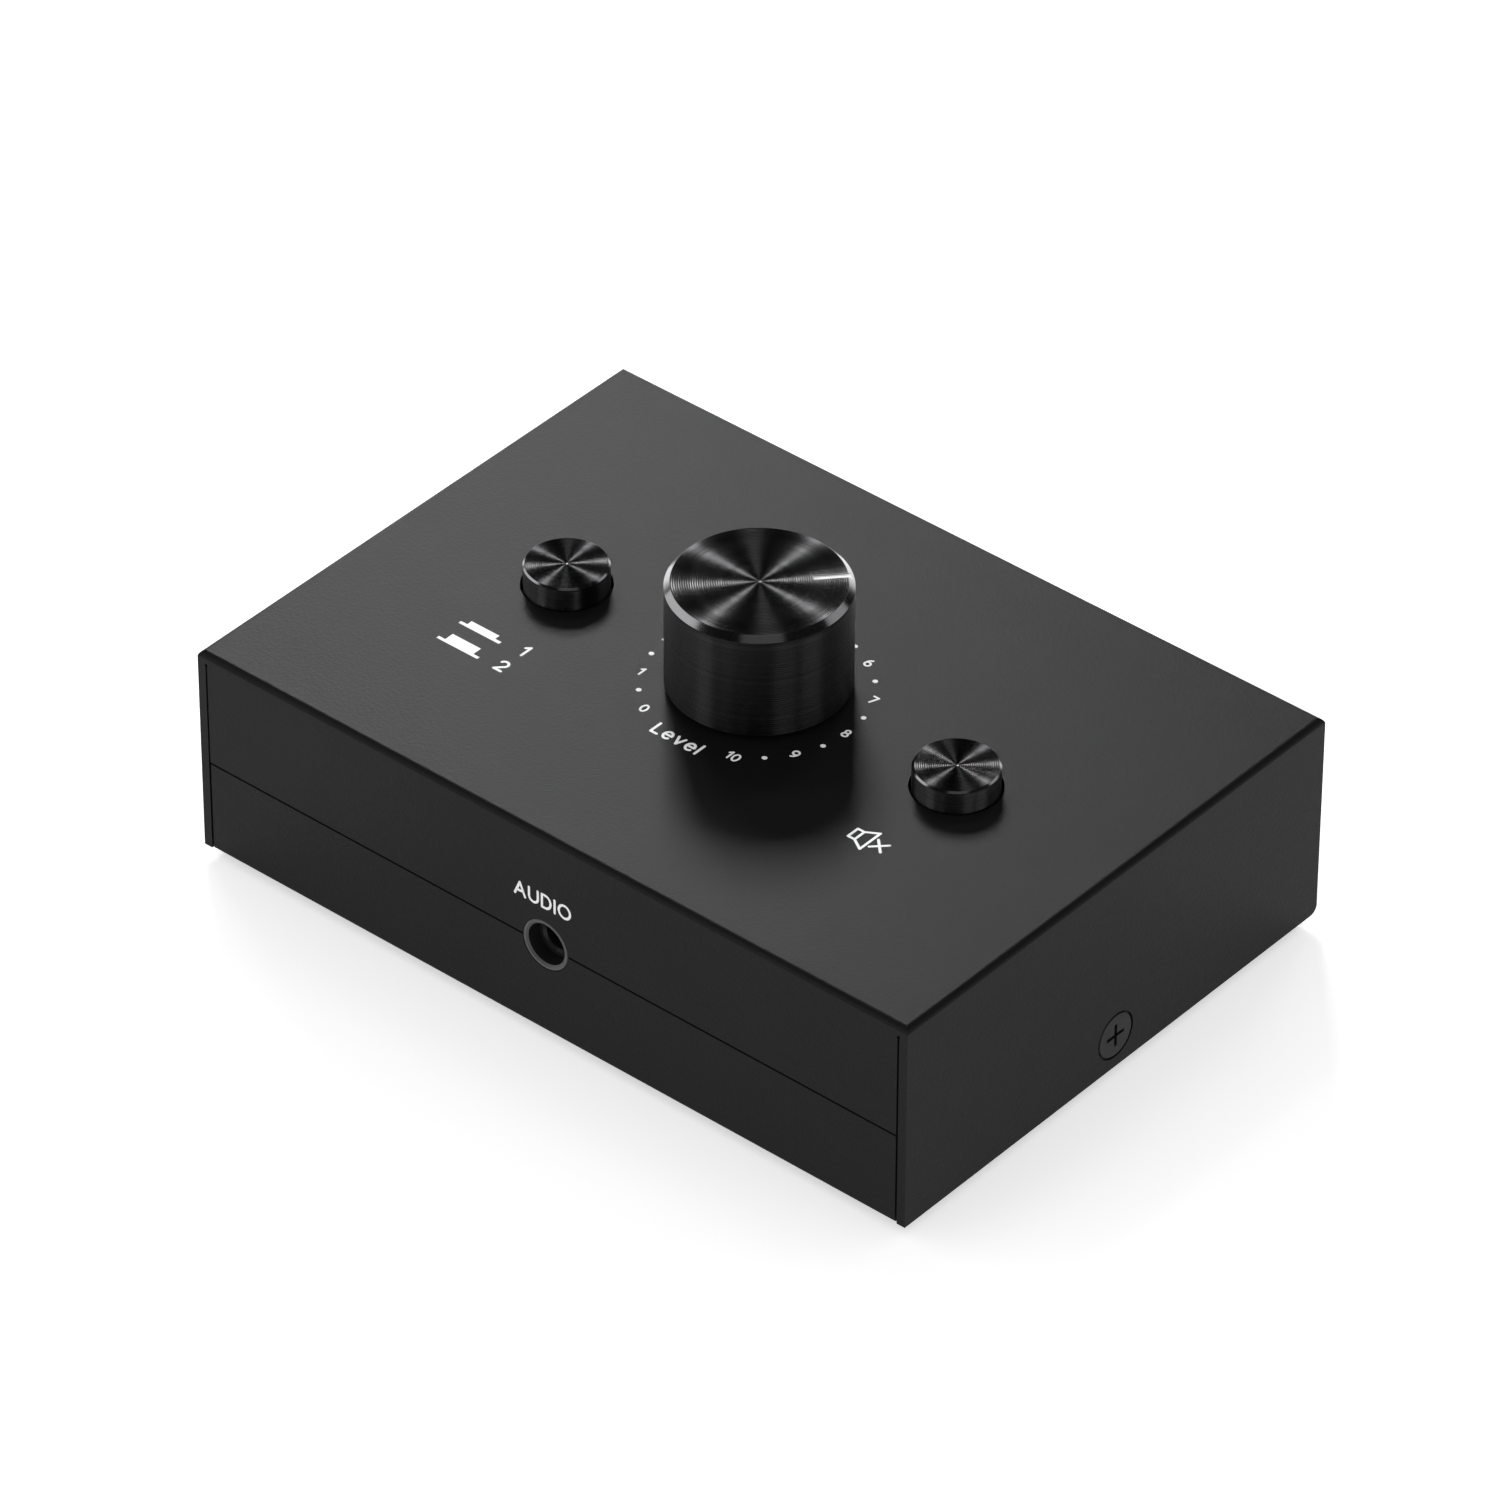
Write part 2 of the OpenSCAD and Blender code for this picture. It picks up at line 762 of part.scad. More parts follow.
module pot_bushing() {
    color([0.7, 0.7, 0.68])
        difference() {
            union() {
                translate([0, 0, pot_plate_z])
                    cylinder(r = pot_r, h = pot_plate_t);
                translate([0, 0, pot_plate_z])
                    cylinder(r = bushing_r, h = bushing_top - pot_plate_z);
                box(
                    [lug_x - lug_t / 2, -lug_w / 2, pot_plate_z],
                    [lug_x + lug_t / 2, lug_w / 2, case_top - leg_clear]
                );
                turn_stop();
            }
            translate([0, 0, pot_plate_z - cut])
                cylinder(r = shaft_r + shaft_clear, h = bushing_top - pot_plate_z + 2 * cut);
        }
}

// Block under the front plate that ends the turn at both ends of the dial
module turn_stop() {
    h = rotor_gap + rotor_t;
    reach = 2 * pot_r;
    intersection() {
        translate([0, 0, pot_plate_z - h])
            tube(track_r, rotor_r + rotor_gap, h + pot_plate_t / 2);
        translate([0, 0, pot_plate_z - h - cut])
            linear_extrude(h + pot_plate_t + cut)
                polygon([
                    [0, 0],
                    reach * [-sin(stop_half_deg), -cos(stop_half_deg)],
                    reach * [sin(stop_half_deg), -cos(stop_half_deg)]
                ]);
    }
}

module pot_washer() {
    color([0.8, 0.8, 0.8])
        translate([0, 0, case_top])
            tube(washer_r, bushing_r + bushing_clear, washer_t);
}

module pot_nut() {
    color([0.75, 0.75, 0.75])
        translate([0, 0, case_top + washer_t])
            difference() {
                cylinder(r = nut_corner_r, h = nut_h, $fn = 6);
                translate([0, 0, -cut])
                    cylinder(r = bushing_r + bushing_clear, h = nut_h + 2 * cut);
            }
}

// Level of a channel's track underside; channel 0 is the upper one
function track_under(channel) = pot_plate_z - channel * channel_pitch - channel_h;

module pot_case() {
    window_w = 2 * pot_leg_pitch + pot_leg_w + 4 * leg_clear;
    color([0.72, 0.73, 0.74])
        difference() {
            translate([0, 0, can_floor])
                cylinder(r = can_r, h = pot_plate_z - can_floor);
            translate([0, 0, can_floor + can_wall])
                cylinder(r = can_r - can_wall, h = pot_plate_z - can_floor);
            for (channel = [0, 1])
                box(
                    [-window_w / 2, -can_r - cut, track_under(channel) - pot_leg_t - leg_clear],
                    [window_w / 2, 0, track_under(channel) + leg_clear]
                );
        }
}

module pot_track(channel) {
    color([0.45, 0.28, 0.15])
        translate([0, 0, track_under(channel)])
            tube(track_r, shaft_square / sqrt(2) + rotor_gap, track_t);
}

module pot_track_upper() {
    pot_track(0);
}

module pot_track_lower() {
    pot_track(1);
}

// The legs of both channels, from their tracks to under the board
module pot_legs(grow = 0) {
    for (channel = [0, 1], place = [-1, 0, 1]) {
        x = place * pot_leg_pitch;
        y = -pot_leg_y - (1 - channel) * pot_row_step;
        box(
            [x - pot_leg_w / 2 - grow, y - pot_leg_t / 2 - grow, board_under - leg_out],
            [x + pot_leg_w / 2 + grow, y + pot_leg_t / 2 + grow, track_under(channel)]
        );
    }
}

module pot_terminals() {
    color([0.8, 0.78, 0.7]) {
        pot_legs();
        for (channel = [0, 1], place = [-1, 0, 1])
            box(
                [
                    place * pot_leg_pitch - pot_leg_w / 2,
                    -pot_leg_y - (1 - channel) * pot_row_step - pot_leg_t / 2,
                    track_under(channel) - pot_leg_t
                ],
                [
                    place * pot_leg_pitch + pot_leg_w / 2,
                    -rotor_r / 2 - pot_leg_w / 2,
                    track_under(channel)
                ]
            );
    }
}

// Volume control, turning pieces

module knob_blank() {
    rotate_extrude()
        polygon([
            [0, knob_top],
            [knob_r - knob_chamfer, knob_top],
            [knob_r, knob_top - knob_chamfer],
            [knob_r, knob_bottom + knob_foot_chamfer],
            [knob_r - knob_foot_chamfer, knob_bottom],
            [knob_r - knob_wall, knob_bottom],
            [knob_r - knob_wall, hollow_top],
            [core_r, hollow_top],
            [core_r, pocket_top],
            [0, pocket_top]
        ]);
}

// Bar along the pointer, from the groove's inner end outwards, at the knob's top
module pointer_bar(w, low, high) {
    rotate([0, 0, pointer_deg])
        box([pointer_from, -w / 2, low], [knob_r + cut, w / 2, high]);
}

module volume_knob() {
    color([0.12, 0.12, 0.12])
        difference() {
            knob_blank();
            pointer_bar(pointer_w, knob_top - pointer_deep, knob_top + cut);
        }
}

module knob_pointer() {
    color([0.95, 0.95, 0.95])
        intersection() {
            difference() {
                pointer_bar(pointer_w, knob_top - pointer_deep, knob_top);
                pointer_bar(pointer_w - 2 * paint_t, knob_top - pointer_deep + paint_t, knob_top + cut);
            }
            knob_blank();
        }
}

// Round bar with a flat, as the shaft's upper end has
module flatted_bar(r, flat, h) {
    difference() {
        cylinder(r = r, h = h);
        box([flat, -2 * r, -cut], [2 * r, 2 * r, h + cut]);
    }
}

module knob_core() {
    low = hollow_top - core_out;
    color([0.85, 0.85, 0.82])
        difference() {
            translate([0, 0, low])
                cylinder(r = core_r - socket_clear, h = pocket_top - low - socket_clear);
            translate([0, 0, low - cut])
                flatted_bar(shaft_r + socket_clear, shaft_flat + socket_clear, pocket_top - low + 2 * cut);
        }
}

module pot_shaft() {
    flat_from = hollow_top - core_out;
    color([0.8, 0.8, 0.78])
        union() {
            translate([0, 0, flat_from])
                flatted_bar(shaft_r, shaft_flat, shaft_top - flat_from);
            difference() {
                translate([0, 0, rotor_top])
                    cylinder(r = shaft_r, h = flat_from - rotor_top);
                translate([0, 0, clip_z - socket_clear])
                    tube(2 * shaft_r, shaft_r - clip_groove, clip_t + 2 * socket_clear);
            }
            box(
                [-shaft_square / 2, -shaft_square / 2, shaft_end],
                [shaft_square / 2, shaft_square / 2, rotor_top + rotor_gap]
            );
        }
}

module shaft_clip() {
    color([0.5, 0.5, 0.52])
        translate([0, 0, clip_z])
            difference() {
                tube(clip_r, shaft_r - clip_groove + socket_clear, clip_t);
                box([0, -shaft_r / 2, -cut], [2 * clip_r, shaft_r / 2, clip_t + cut]);
            }
}

module rotor(channel) {
    half = shaft_square / 2 + socket_clear;
    translate([0, 0, rotor_top - channel * channel_pitch - rotor_t])
        difference() {
            cylinder(r = rotor_r, h = rotor_t);
            box([-half, -half, -cut], [half, half, rotor_t + cut]);
        }
}

module pot_rotor_upper() {
    color([0.9, 0.9, 0.85]) {
        rotor(0);
        rotate([0, 0, pointer_deg])
            box(
                [rotor_r - tooth_half, -tooth_half, rotor_top - rotor_t],
                [rotor_r + tooth_out, tooth_half, rotor_top]
            );
    }
}

module pot_rotor_lower() {
    color([0.9, 0.9, 0.85])
        rotor(1);
}

module pot_wiper(channel) {
    inner_r = rotor_r / 2;
    outer_r = rotor_r - tooth_half;
    color([0.85, 0.75, 0.4])
        translate([0, 0, rotor_top - channel * channel_pitch - rotor_t - wiper_t]) {
            tube(outer_r, inner_r, wiper_t);
            for (turn = [0, 180])
                rotate([0, 0, pointer_deg + turn])
                    translate([(inner_r + outer_r) / 2, 0, -wiper_tip_h])
                        cylinder(r = wiper_tip_r, h = wiper_tip_h + wiper_t / 2);
        }
}

module pot_wiper_upper() {
    pot_wiper(0);
}

module pot_wiper_lower() {
    pot_wiper(1);
}

// Buttons and switches

// Moves children to the left (-1) or right (1) button; levels stay as they are
module at_switch(side) {
    translate([side * button_x, 0, 0])
        children();
}

module button_cap() {
    hollow_r = button_r - cap_wall;
    half = stem_w / 2 + socket_clear;
    under_roof = cap_top - cap_roof;
    color([0.12, 0.12, 0.12])
        difference() {
            union() {
                rotate_extrude()
                    polygon([
                        [0, cap_top],
                        [button_r - button_chamfer, cap_top],
                        [button_r, cap_top - button_chamfer],
                        [button_r, cap_bottom],
                        [hollow_r, cap_bottom],
                        [hollow_r, under_roof],
                        [0, under_roof]
                    ]);
                translate([0, 0, under_roof - boss_h])
                    cylinder(r = boss_r, h = boss_h + cap_roof / 2);
            }
            box([-half, -half, under_roof - boss_h - cut], [half, half, under_roof]);
        }
}

module plunger() {
    half = block_w / 2;
    stem = stem_w / 2;
    groove = latch_groove_w / 2;
    color([0.85, 0.85, 0.85])
        difference() {
            union() {
                box([-half, -half, block_bottom], [half, half, block_top]);
                box([-stem, -stem, block_top - cut], [stem, stem, cap_top - cap_roof - socket_clear]);
            }
            translate([0, 0, block_bottom - cut])
                cylinder(r = spring_pocket_r, h = spring_pocket_h + cut);
            box(
                [-groove, -half - cut, block_bottom - cut],
                [groove, -half + latch_groove_t, groove_top]
            );
        }
}

module sliding_contacts() {
    color([0.85, 0.75, 0.4])
        for (side = [0, 1])
            mirror([side, 0, 0])
                box(
                    [slider_x, -block_w / 2, block_bottom],
                    [slider_x + slider_t, block_w / 2, block_bottom + slider_h]
                );
}

module switch_housing() {
    hole = stem_w / 2 + stem_clear;
    high = board_top + switch_h;
    color([0.1, 0.1, 0.1])
        difference() {
            box([-switch_w / 2, -switch_w / 2, switch_floor], [switch_w / 2, switch_w / 2, high]);
            box(
                [-switch_inner / 2, -switch_inner / 2, switch_floor - cut],
                [switch_inner / 2, switch_inner / 2, high - switch_wall]
            );
            box([-hole, -hole, high - switch_wall - cut], [hole, hole, high + cut]);
        }
}

module switch_base() {
    color([0.35, 0.3, 0.25])
        difference() {
            box([-switch_w / 2, -switch_w / 2, board_top], [switch_w / 2, switch_w / 2, switch_floor]);
            switch_legs(socket_clear);
            translate([0, latch_y, switch_floor - switch_base_t / 2])
                cylinder(r = latch_wire_r + socket_clear, h = switch_base_t);
        }
}

// The six legs of one switch, from the tops of the fixed contacts to under the board
module switch_legs(grow = 0) {
    for (side = [0, 1], place = [-1, 0, 1])
        mirror([side, 0, 0])
            translate([leg_x, place * switch_leg_pitch, 0])
                box(
                    [-grow, -switch_leg_w / 2 - grow, board_under - leg_out],
                    [switch_leg_t + grow, switch_leg_w / 2 + grow, switch_floor + switch_contact_h]
                );
}

module switch_terminals() {
    color([0.8, 0.78, 0.7])
        switch_legs();
}

// The pin stands in the base and its bent tip lies in the block's groove
module latch_pin() {
    tip_z = block_bottom + latch_tip_h;
    foot_z = switch_floor - switch_base_t / 2 + socket_clear;
    tip_l = latch_groove_t - latch_tip_gap - latch_y - block_w / 2;
    color([0.7, 0.7, 0.72]) {
        translate([0, latch_y, foot_z])
            cylinder(r = latch_wire_r, h = tip_z - foot_z + latch_wire_r);
        translate([0, latch_y, tip_z])
            along_y()
                cylinder(r = latch_wire_r, h = tip_l);
    }
}

// Round wire wound into a coil: each ring of points is a section across the wire
function coil_ring(step, rings, low, high, wire_sides) = let(
    turn = 360 * spring_turns * step / rings,
    level = low + (high - low) * step / rings
) [
    for (side = [0 : wire_sides - 1])
        let(
            angle = 360 * side / wire_sides,
            r = spring_r + spring_wire_r * cos(angle)
        )
        [r * cos(turn), r * sin(turn), level + spring_wire_r * sin(angle)]
];

module return_spring() {
    wire_sides = 6;
    rings = 10 * spring_turns;
    low = switch_floor + spring_wire_r + socket_clear;
    high = block_bottom + spring_pocket_h - spring_wire_r - socket_clear;
    points = [for (step = [0 : rings]) each coil_ring(step, rings, low, high, wire_sides)];
    skin = [
        for (step = [0 : rings - 1], side = [0 : wire_sides - 1])
            let(
                next = (side + 1) % wire_sides,
                a = step * wire_sides,
                b = a + wire_sides
            )
            [a + side, a + next, b + next, b + side]
    ];
    first_end = [for (side = [0 : wire_sides - 1]) wire_sides - 1 - side];
    last_end = [for (side = [0 : wire_sides - 1]) rings * wire_sides + side];
    color([0.75, 0.75, 0.78])
        polyhedron(points, concat(skin, [first_end], [last_end]));
}

top_cover();
base_plate();
side_screws();
rubber_feet();
circuit_board();
board_standoffs();
board_screws();
output_jack_ring();
output_jack_housing();
output_jack_contacts();
at_input_jack(-1) jack_ring();  // input_jack_1_ring
at_input_jack(-1) jack_housing();  // input_jack_1_housing
at_input_jack(-1) jack_contacts();  // input_jack_1_contacts
at_input_jack(1) jack_ring();  // input_jack_2_ring
at_input_jack(1) jack_housing();  // input_jack_2_housing
at_input_jack(1) jack_contacts();  // input_jack_2_contacts
pot_bushing();
pot_washer();
pot_nut();
pot_case();
pot_track_upper();
pot_track_lower();
pot_terminals();
volume_knob();
knob_pointer();
knob_core();
pot_shaft();
shaft_clip();
pot_rotor_upper();
pot_rotor_lower();
pot_wiper_upper();
pot_wiper_lower();
at_switch(-1) button_cap();  // select_button_cap
at_switch(-1) plunger();  // select_plunger
at_switch(-1) sliding_contacts();  // select_sliding_contacts
at_switch(-1) switch_housing();  // select_switch_housing
at_switch(-1) switch_base();  // select_switch_base
at_switch(-1) switch_terminals();  // select_switch_terminals
at_switch(-1) return_spring();  // select_switch_spring
at_switch(-1) latch_pin();  // select_latch_pin
at_switch(1) button_cap();  // mute_button_cap
at_switch(1) plunger();  // mute_plunger
at_switch(1) sliding_contacts();  // mute_sliding_contacts
at_switch(1) switch_housing();  // mute_switch_housing
at_switch(1) switch_base();  // mute_switch_base
at_switch(1) switch_terminals();  // mute_switch_terminals
at_switch(1) return_spring();  // mute_switch_spring
at_switch(1) latch_pin();  // mute_latch_pin
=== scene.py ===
"""The looks of a desktop audio switch box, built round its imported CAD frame.

Every length is in metres and every place is in the frame's own axes: X runs along the front,
Y towards the rear and Z up, with the origin on the floor under the middle of the case.
"""

import json
import logging
import math
from collections.abc import Callable, Iterator, Sequence
from contextlib import contextmanager
from dataclasses import dataclass, field
from enum import Enum

import bmesh
import bpy
from mathutils import Matrix, Vector


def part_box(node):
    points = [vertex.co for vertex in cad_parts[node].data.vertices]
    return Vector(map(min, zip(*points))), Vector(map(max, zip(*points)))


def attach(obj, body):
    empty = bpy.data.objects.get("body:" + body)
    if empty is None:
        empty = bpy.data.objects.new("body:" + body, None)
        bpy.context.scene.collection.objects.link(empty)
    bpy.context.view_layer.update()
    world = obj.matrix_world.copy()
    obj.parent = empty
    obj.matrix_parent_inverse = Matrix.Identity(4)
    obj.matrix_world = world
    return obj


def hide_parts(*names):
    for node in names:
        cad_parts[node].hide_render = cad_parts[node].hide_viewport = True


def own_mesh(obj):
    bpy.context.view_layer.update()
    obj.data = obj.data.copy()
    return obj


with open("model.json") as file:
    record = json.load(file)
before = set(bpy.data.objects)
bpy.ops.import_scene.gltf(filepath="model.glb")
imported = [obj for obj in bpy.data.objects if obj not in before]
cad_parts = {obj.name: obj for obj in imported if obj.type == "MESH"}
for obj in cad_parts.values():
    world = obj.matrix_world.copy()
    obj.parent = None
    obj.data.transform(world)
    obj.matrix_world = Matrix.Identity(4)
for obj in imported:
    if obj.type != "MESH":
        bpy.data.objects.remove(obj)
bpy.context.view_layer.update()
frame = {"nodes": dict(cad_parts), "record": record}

MM = 0.001
LOG = logging.getLogger("switch_box")
# The least distance at which two points of a piece stay apart when its doubles are merged
SAME_POINT = 1e-6
# How much more a large face counts than a small one in the shading of a corner
LARGE_FACE_WEIGHT = 80
# Where the middle of a noise's values lies
NOISE_MIDDLE = (0.3, 0.7)
# The heights of a unit normal that tell a face that looks down, a wall and a slope apart
LOOKS_DOWN, UPRIGHT, SLOPE = -0.5, 0.05, (0.3, 0.95)
# What the case and its screws share
SHEET_THICKNESS = 1.2 * MM
SCREW_HEAD, SCREW_RIM = 2.9 * MM, 0.35 * MM
# The sockets' names in the frame, and whether each is in the front wall
JACKS = {"output_jack": True, "input_jack_1": False, "input_jack_2": False}

Colour = tuple[float, float, float]
Outline = list[tuple[float, float]]
Piece = bpy.types.Object
Socket = bpy.types.NodeSocket


class Carve(Enum):
    """What a boolean does with the cutting piece."""

    TAKE_AWAY = "DIFFERENCE"
    ADD = "UNION"


class Parts(Enum):
    """What is selected in edit mode."""

    POINTS = "VERT"
    EDGES = "EDGE"
    FACES = "FACE"


class Axis(Enum):
    """The axis that a bore runs along, as the turn that lays the Z axis on it."""

    X = (0, math.pi / 2, 0)
    Y = (math.pi / 2, 0, 0)
    Z = (0, 0, 0)


class Fade(Enum):
    """How values run from one end of a range to the other."""

    EVEN = "LINEAR"
    SOFT = "SMOOTHSTEP"


class Ray(Enum):
    """A kind of ray that sees the white surroundings."""

    CAMERA = "Is Camera Ray"
    GLOSSY = "Is Glossy Ray"
    TRANSMISSION = "Is Transmission Ray"


class Side(Enum):
    """The left or the right of the case, as the sign of X."""

    LEFT = -1
    RIGHT = 1

    @property
    def switch(self) -> str:
        """The name in the frame of the switch on this side."""
        return "select" if self is Side.LEFT else "mute"

    @property
    def outwards(self) -> Matrix:
        """The turn that points the Z axis out of this side."""
        return Matrix.Rotation(self.value * math.pi / 2, 4, "Y")


# Modelling tools


def select_only(piece: Piece) -> None:
    """Makes one object the only selected one, and the active one."""
    bpy.ops.object.select_all(action="DESELECT")
    piece.select_set(True)
    bpy.context.view_layer.objects.active = piece


@contextmanager
def editing(piece: Piece, parts: Parts = Parts.POINTS) -> Iterator[None]:
    """Opens a piece in edit mode with nothing selected.

    Args:
        piece: The mesh object to shape.
        parts: What is to be selected in it.
    """
    select_only(piece)
    bpy.ops.object.mode_set(mode="EDIT")
    bpy.ops.mesh.select_mode(type=parts.value)
    bpy.ops.mesh.select_all(action="DESELECT")
    yield
    bpy.ops.object.mode_set(mode="OBJECT")


def pick_edges(piece: Piece, test: Callable[[Vector, Vector], bool]) -> None:
    """Selects, in edit mode, the edges whose two ends pass a test."""
    mesh = bmesh.from_edit_mesh(piece.data)
    for edge in mesh.edges:
        if test(edge.verts[0].co, edge.verts[1].co):
            edge.select_set(True)
    bmesh.update_edit_mesh(piece.data)


def pick_faces(piece: Piece, test: Callable[[Vector, Vector], bool]) -> None:
    """Selects, in edit mode, the faces whose middle and normal pass a test."""
    mesh = bmesh.from_edit_mesh(piece.data)
    for face in mesh.faces:
        if test(face.calc_center_median(), face.normal):
            face.select_set(True)
    bmesh.update_edit_mesh(piece.data)


def settle(piece: Piece) -> None:
    """Applies a piece's place, turn and scale to its mesh."""
    select_only(piece)
    bpy.ops.object.transform_apply(location=True, rotation=True, scale=True)


def close_up(piece: Piece) -> None:
    """Merges a piece's doubled points and turns its faces outwards."""
    with editing(piece):
        bpy.ops.mesh.select_all(action="SELECT")
        bpy.ops.mesh.remove_doubles(threshold=SAME_POINT)
        bpy.ops.mesh.normals_make_consistent(inside=False)


def apply_modifier(piece: Piece, kind: str, **settings: object) -> None:
    """Adds one modifier to a piece, sets it up and applies it.

    Args:
        piece: The object that the modifier works on.
        kind: The modifier's type, in Blender's own word.
        settings: Values of the modifier's fields.
    """
    select_only(piece)
    bpy.ops.object.modifier_add(type=kind)
    modifier = piece.modifiers[-1]
    for name, value in settings.items():
        setattr(modifier, name, value)
    bpy.ops.object.modifier_apply(modifier=modifier.name)


def carve(piece: Piece, cutter: Piece, how: Carve = Carve.TAKE_AWAY) -> None:
    """Cuts a piece with another one, or joins it on, and removes that other one."""
    apply_modifier(piece, "BOOLEAN", operation=how.value, solver="EXACT", object=cutter)
    bpy.data.objects.remove(cutter)


def block(name: str, low: Sequence[float], high: Sequence[float]) -> Piece:
    """Adds a cube that fills the box between two corners."""
    low, high = Vector(low), Vector(high)
    bpy.ops.mesh.primitive_cube_add(size=1, location=(low + high) / 2, scale=high - low)
    piece = bpy.context.object
    piece.name = name
    settle(piece)
    return piece


def copy_of(piece: Piece, name: str, shift: Sequence[float] = (0, 0, 0)) -> Piece:
    """Copies a piece with a mesh of its own and moves the copy.

    Args:
        piece: The model to copy.
        name: The copy's name.
        shift: How far the copy is moved from the model.

    Returns:
        The copy, with its place in its mesh.
    """
    select_only(piece)
    bpy.ops.object.duplicate(linked=False)
    twin = bpy.context.object
    twin.name = name
    twin.location = Vector(shift)
    settle(twin)
    return twin


def turned(name: str, outline: Outline, steps: int) -> Piece:
    """Turns an outline round the Z axis, as on a lathe.

    Args:
        name: The new piece's name.
        outline: Radius and height of each corner, along the outline.
        steps: How many flats the round has.

    Returns:
        A closed piece whose faces point outwards.
    """
    bpy.ops.mesh.primitive_plane_add(size=MM)
    piece = bpy.context.object
    piece.name = name
    places = [Vector((radius, 0, height)) for radius, height in outline]
    with editing(piece):
        bpy.ops.mesh.select_all(action="SELECT")
        bpy.ops.mesh.merge(type="CENTER")
        bpy.ops.transform.translate(value=places[0])
        for start, end in zip(places, places[1:]):
            bpy.ops.mesh.extrude_region_move(TRANSFORM_OT_translate={"value": end - start})
        bpy.ops.mesh.select_all(action="SELECT")
        bpy.ops.mesh.spin(steps=steps, angle=math.tau, center=(0, 0, 0), axis=(0, 0, 1))
    close_up(piece)
    return piece


def turn_to(piece: Piece, turn: Matrix, place: Sequence[float]) -> Piece:
    """Turns a piece about the origin, moves it and applies both."""
    piece.matrix_world = Matrix.Translation(Vector(place)) @ turn.to_4x4()
    settle(piece)
    return piece


def shade_by_angle(piece: Piece, angle_deg: float) -> None:
    """Shades a piece smoothly where its faces meet at less than an angle."""
    select_only(piece)
    bpy.ops.object.shade_smooth_by_angle(angle=math.radians(angle_deg), keep_sharp_edges=True)


def smooth(piece: Piece, angle_deg: float = 35) -> None:
    """Shades a piece smoothly over its small angles, with its large faces kept flat."""
    shade_by_angle(piece, angle_deg)
    apply_modifier(piece, "WEIGHTED_NORMAL", keep_sharp=True, weight=LARGE_FACE_WEIGHT)


def round_edges(piece: Piece, radius: float, steps: int = 2, angle_deg: float = 40) -> None:
    """Rounds every edge that is sharper than an angle."""
    apply_modifier(
        piece,
        "BEVEL",
        width=radius,
        segments=steps,
        limit_method="ANGLE",
        angle_limit=math.radians(angle_deg),
        use_clamp_overlap=True,
    )


# Finishes


class Sheet:
    """The node tree of one finish, with the few moves that all finishes need."""

    def __init__(self, owner: bpy.types.Material | bpy.types.World) -> None:
        """Starts the nodes of a new material, or of the world, with only the surface shader."""
        self.owner = owner
        owner.use_nodes = True
        self.nodes = owner.node_tree.nodes
        self.surface = [node for node in self.nodes if node.type in ("BSDF_PRINCIPLED", "BACKGROUND")][0]

    def add(self, kind: str, **settings: object) -> bpy.types.Node:
        """Adds a node.

        Args:
            kind: The node's type without its ShaderNode prefix.
            settings: Fields of the node, or the values of its input sockets by name.

        Returns:
            The new node.
        """
        node = self.nodes.new("ShaderNode" + kind)
        for name, value in settings.items():
            if hasattr(node, name):
                setattr(node, name, value)
            else:
                node.inputs[name.replace("_", " ")].default_value = value
        return node

    def set(self, **values: object) -> None:
        """Sets inputs of the surface shader that are the same all over."""
        for name, value in values.items():
            self.surface.inputs[name.replace("_", " ")].default_value = value

    def link(self, source: Socket, target: Socket) -> None:
        """Joins one node's output to another's input."""
        self.owner.node_tree.links.new(source, target)

    def place(self, centre: Sequence[float] = (0, 0, 0)) -> Socket:
        """Gives the object's own coordinates, counted from a centre."""
        coordinates = self.add("TexCoord")
        shift = self.add("Mapping")
        shift.inputs["Location"].default_value = [-value for value in centre]
        self.link(coordinates.outputs["Object"], shift.inputs["Vector"])
        return shift.outputs["Vector"]

    def grain(self, where: Socket, size: float, detail: float = 3, sharpness: float = 0.55) -> Socket:
        """Gives noise whose blotches are about one size across, from 0 to 1."""
        noise = self.add("TexNoise", Scale=1 / size, Detail=detail, Roughness=sharpness)
        self.link(where, noise.inputs["Vector"])
        return noise.outputs["Fac"]

    def span(
        self, source: Socket, start: tuple[float, float], end: tuple[float, float], fade: Fade = Fade.EVEN
    ) -> Socket:
        """Maps one range of values onto another.

        Args:
            source: The values.
            start: The range that they come from.
            end: The range that they go to.
            fade: How they run through it.

        Returns:
            The mapped values.
        """
        node = self.add("MapRange", interpolation_type=fade.value)
        for name, value in zip(("From Min", "From Max", "To Min", "To Max"), (*start, *end)):
            node.inputs[name].default_value = value
        self.link(source, node.inputs["Value"])
        return node.outputs["Result"]

    def spread(self, noise: Socket, low: float, high: float) -> Socket:
        """Spreads the middle of a noise over a range of values."""
        return self.span(noise, NOISE_MIDDLE, (low, high))

    def math(self, operation: str, *values: object) -> Socket:
        """Adds one arithmetic node over sockets and numbers."""
        node = self.add("Math", operation=operation)
        for socket, value in zip(node.inputs, values):
            if isinstance(value, Socket):
                self.link(value, socket)
            else:
                socket.default_value = value
        return node.outputs["Value"]

    def shade(self, amount: Socket, dark: Colour, light: Colour) -> None:
        """Colours the surface between two shades."""
        mix = self.add("Mix", data_type="RGBA")
        sockets = {(socket.name, socket.type): socket for socket in mix.inputs}
        self.link(amount, sockets["Factor", "VALUE"])
        sockets["A", "RGBA"].default_value = (*dark, 1)
        sockets["B", "RGBA"].default_value = (*light, 1)
        result = [socket for socket in mix.outputs if socket.type == "RGBA"][0]
        self.link(result, self.surface.inputs["Base Color"])

    def relief(self, height: Socket, depth: float) -> None:
        """Raises the surface by a height map over a depth in metres."""
        bump = self.add("Bump", Strength=1.0, Distance=depth)
        self.link(height, bump.inputs["Height"])
        self.link(bump.outputs["Normal"], self.surface.inputs["Normal"])


